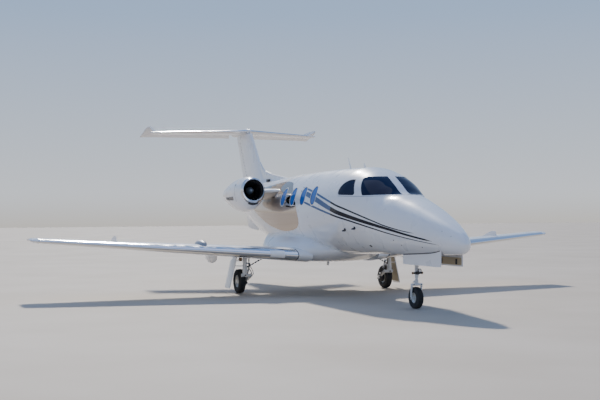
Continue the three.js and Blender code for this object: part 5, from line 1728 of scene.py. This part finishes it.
def build_seats():
    level, upright = Matrix.Identity(3), Matrix.Rotation(math.radians(90), 3, "Y")
    for node, seats in SEATS.items():
        frames = []
        for k, (station, y, facing) in enumerate(seats):
            def s(distance):
                return station + distance * facing
            for part, behind, z, size, stands, channels, fill in SEAT_PADS:
                mesh = pad(at(s(behind), y, z), size, upright if stands else level, channels)
                piece = new_piece(f"{node}_{part}_{k}", *mesh, "leather", "airframe", smooth=60)
            frames += [box(at(s(0.06), y - 0.13, 1.172), at(s(0.40), y + 0.13, 1.402), 0.02),
                       box(at(s(0.10), y - 0.225, 1.560), at(s(0.42), y - 0.190, 1.600), 0.010),
                       *(rod(at(s(0.475), y + d, 2.02), at(s(0.475), y + d, 2.10), 0.006)
                         for d in (-0.06, 0.06))]
        low, high = SEAT_RAILS[node]
        for y in (-0.40, -0.20, 0.20, 0.40):
            frames.append(box(at(low, y - 0.02, 1.1515), at(high, y + 0.02, 1.1735), 0.004))
        rails = new_piece(f"{node}_frames", *merged(frames), "black", "airframe")
        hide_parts(node)


def build_panel():
    parts = [box(at(2.232, -0.50, 1.36), at(2.298, 0.50, 1.955), 0.018),
             loft([[at(s, -half, 1.990), at(s, -half, 1.960), at(s, half, 1.960), at(s, half, 1.990)]
                   for s, half in ((2.05, 0.22), (2.16, 0.36), (2.328, 0.44))]),
             box(at(2.185, -0.105, 1.156), at(2.415, 0.105, 1.495), 0.015)]
    panel = new_piece("instrument_panel_skin", *merged(parts), "panel", "airframe")
    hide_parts("instrument_panel")
    screens = [box(at(2.296, y - 0.125, 1.70), at(2.302, y + 0.125, 1.89), 0.002)
               for y in (-0.31, 0.0, 0.31)]
    new_piece("panel_screens", *merged(screens), "display", "airframe")
    wheels = []
    for y in (-0.30, 0.30):
        wheels.append(rod(at(2.29, y, 1.62), at(2.41, y, 1.63), 0.014))
        wheels.append(tube([at(2.42, y - 0.13, 1.71), at(2.42, y - 0.12, 1.64), at(2.42, y, 1.62),
                            at(2.42, y + 0.12, 1.64), at(2.42, y + 0.13, 1.71)], 0.013))
    new_piece("control_wheels", *merged(wheels), "black", "airframe")


# Small fittings on the skin

ANTENNAS = (
    # root stations, tip stations, foot and top heights, half thickness
    ((4.42, 4.50), (4.58, 4.60), 2.600, 2.850, 0.009),
    ((3.74, 3.84), (3.82, 3.86), 2.600, 2.700, 0.008),
)
BELLY_ANTENNA = ((5.55, 5.72), (5.62, 5.72), 0.690, 0.595, 0.007)


def blade(root, tip, foot, top, half):
    """A blade antenna from its foot to its top."""
    rings = []
    for t in (0, 0.5, 0.9, 1.0):
        fore, back = (r + (e - r) * t for r, e in zip(root, tip))
        z = foot + (top - foot) * t
        thick = half * (1 - 0.6 * t)
        shares = (0, 0.15, 0.5, 0.85, 1)
        sizes = (0.05, 0.8, 1, 0.6, 0.05)
        left = [(fore + (back - fore) * s, thick * w, z) for s, w in zip(shares, sizes)]
        rings.append([at(*p) for p in left] + [at(s, -y, z) for s, y, z in left[::-1]])
    return loft(rings)


def skin_disc(station, z, side, radius, thick=0.0025, stretch=1.0):
    """A flat round patch on the flank."""
    centre, normal = skin_point(station, z, side), skin_normal(station, z, side)
    along = Vector((-1, 0, 0))
    along = (along - normal * along.dot(normal)).normalized()
    up = normal.cross(along)
    rings = []
    for lift, size in ((-0.004, 1), (thick * 0.6, 1), (thick, 0.85)):
        rings.append(round_ring(centre + normal * lift, along * stretch, up, radius * size, 24))
    return loft(rings)


PROBES = ((3.126, 1.403), (2.794, 1.435))
DOTS = ((1.678, 1.229, 0.011), (0.929, 1.125, 0.011), (1.506, 1.144, 0.010), (0.446, 1.399, 0.006),
        (0.251, 1.319, 0.006))
VENT = (2.561, 1.103, 0.030)
SILL = ((2.06, 2.028), (2.4, 2.020), (2.9, 2.022), (3.33, 2.042))
DASHES = 11
DASH_AHEAD = 0.045                  # distance of the fin's dashes ahead of the rudder's hinge


def build_fittings():
    new_piece("top_antennas", *merged([blade(*row) for row in ANTENNAS]), "paint", "airframe")
    new_piece("belly_antenna", *blade(*BELLY_ANTENNA), "gear", "airframe")
    for word, side in SIDES:
        tubes, dots = [], []
        for station, z in PROBES:
            foot, normal = skin_point(station, z, side), skin_normal(station, z, side)
            head = foot + normal * 0.075
            tubes.append(tube([foot - normal * 0.01, foot + normal * 0.05, head + Vector((0.02, 0, 0)),
                               head + Vector((0.13, 0, 0))], 0.011))
            tubes.append(skin_disc(station, z, side, 0.030))
        new_piece(f"air_probes_{word}", *merged(tubes), "black", "airframe")
        for station, z, radius in DOTS:
            dots.append(skin_disc(station, z, side, radius))
        dots.append(skin_disc(VENT[0], VENT[1], side, VENT[2], stretch=1.4))
        new_piece(f"skin_ports_{word}", *merged(dots), "black", "airframe")
        # A slate strip of painted shade in the crease under the windscreen.
        new_piece(f"sill_crease_painted_shade_{word}", *skin_line(SILL, side, 0.010, 0.0010), "boot", "airframe")
    # Black dashes along the rudder's gap on both sides of the fin: painted shade in the gap.
    dashes = []
    for k in range(DASHES):
        ends = []
        for share in ((k + 0.10) / DASHES, (k + 0.72) / DASHES):
            hinge, z = (a + (b - a) * share for a, b in zip(*RUDDER))
            s = hinge - DASH_AHEAD
            lead, trail = fin_edges(z)
            ends.append((s, z, foil_half((s - lead) / (trail - lead), FIN_THICK, trail - lead)))
        for side in (1, -1):
            dashes.append(rod(*(at(s, side * (half - 0.002), z) for s, z, half in ends), 0.006, sides=10))
    new_piece("fin_gap_painted_shade", *merged(dashes), "black", "airframe")
    # Black boxes of painted shade for the dorsal fin's slot openings.
    slots = [box(at(9.10, side * 0.02, 2.47), at(9.24, side * 0.095, 2.57), 0.004)
             for _, side in SIDES]
    new_piece("dorsal_slots", *merged(slots), "black", "airframe")


def cowl_patch(side, aft, turns, lift, steps=(8, 10)):
    """A thin shell that lies on a stretch of the cowl; turns in degrees from outboard up."""
    rings = []
    for a in np.linspace(*aft, steps[0]):
        row = [math.radians(float(t)) for t in np.linspace(*turns, steps[1])]
        outer = [cowl_point(side, float(a), t, lift) for t in row]
        inner = [cowl_point(side, float(a), t, -0.003) for t in row]
        rings.append(outer + inner[::-1])
    return loft(rings)


def build_cowl_fittings(word, side):
    lines = [cowl_patch(side, (0.455, 0.465), (-32, 28), 0.0012),
             cowl_patch(side, (0.440, 0.480), (20, 28), 0.0025)]
    new_piece(f"cowl_latch_line_{word}", *merged(lines), "black", "airframe")
    ring = [cowl_patch(side, (1.300, 1.306), (-178, 178), 0.0008, (2, 80)),
            cowl_patch(side, (0.985, 0.990), (-178, 178), 0.0008, (2, 80))]
    new_piece(f"cowl_seams_{word}", *merged(ring), "seam", "airframe")
    # Dark patches of painted shade for the louvers' openings.
    slots = [cowl_patch(side, (0.62 + 0.085 * k, 0.675 + 0.085 * k), (-25, -14), 0.0015) for k in range(10)]
    new_piece(f"cowl_louvers_{word}", *merged(slots), "louver", "airframe")
    # A black patch of painted shade for the scoop's opening under the lip.
    scoop = cowl_patch(side, (0.035, 0.105), (-114, -66), 0.0015)
    new_piece(f"cowl_scoop_{word}", *scoop, "black", "airframe")


# CAD nodes that keep their own shape take a material from their slot

SLOT_LOOKS = {"paint": "paint", "composite": "paint", "polished": "polished", "glass": "pane", "lens": "lens",
              "carpet": "carpet", "panel": "panel", "leather": "leather", "gear": "gear", "tyre": "rubber",
              "wheel": "rim", "fan": "fan", "engine": "hot"}


def dress_frame():
    """Gives the solids that stay visible the look of their slot."""
    slots = {part["node"]: part["material_slot"] for part in frame["record"]["subparts"]}
    for name, node in frame["nodes"].items():
        node.data.materials.clear()
        node.data.materials.append(MAT[SLOT_LOOKS[slots[name]]])


def build_floor():
    material = shader("studio_floor", (0.50, 0.43, 0.35), 0.75)
    vary_colour(material, (0.47, 0.40, 0.32), (0.53, 0.46, 0.38), 0.35)
    bump(material, 30, 0.12, 0.01)
    reach = 120
    corners = [(-reach, -reach, 0), (reach, -reach, 0), (reach, reach, 0), (-reach, reach, 0)]
    floor = new_piece("studio_floor", corners, [(0, 1, 2, 3)], None)
    floor.data.materials.append(material)


set_camera()
set_world()
sun_light("key", (0.77, -0.155, -0.62), 4.2, 3, (1.0, 0.95, 0.87))
area_light("soft_top", (2, -2, 16), (0, 0, 1), (18, 14), 400, (0.95, 0.97, 1.0))
build_floor()
dress_frame()
build_fuselage()
build_glass()
build_stripes()
build_swoosh()
build_fairing()
build_tail()
for word, side in SIDES:
    build_wing(word, side)
    build_engine(word, side)
    build_main_gear(word, side)
    build_wheel(f"main_{word}", MAIN_WHEEL, side, f"{word}_wheel")
build_nose_gear()
build_seats()
build_panel()
build_fittings()
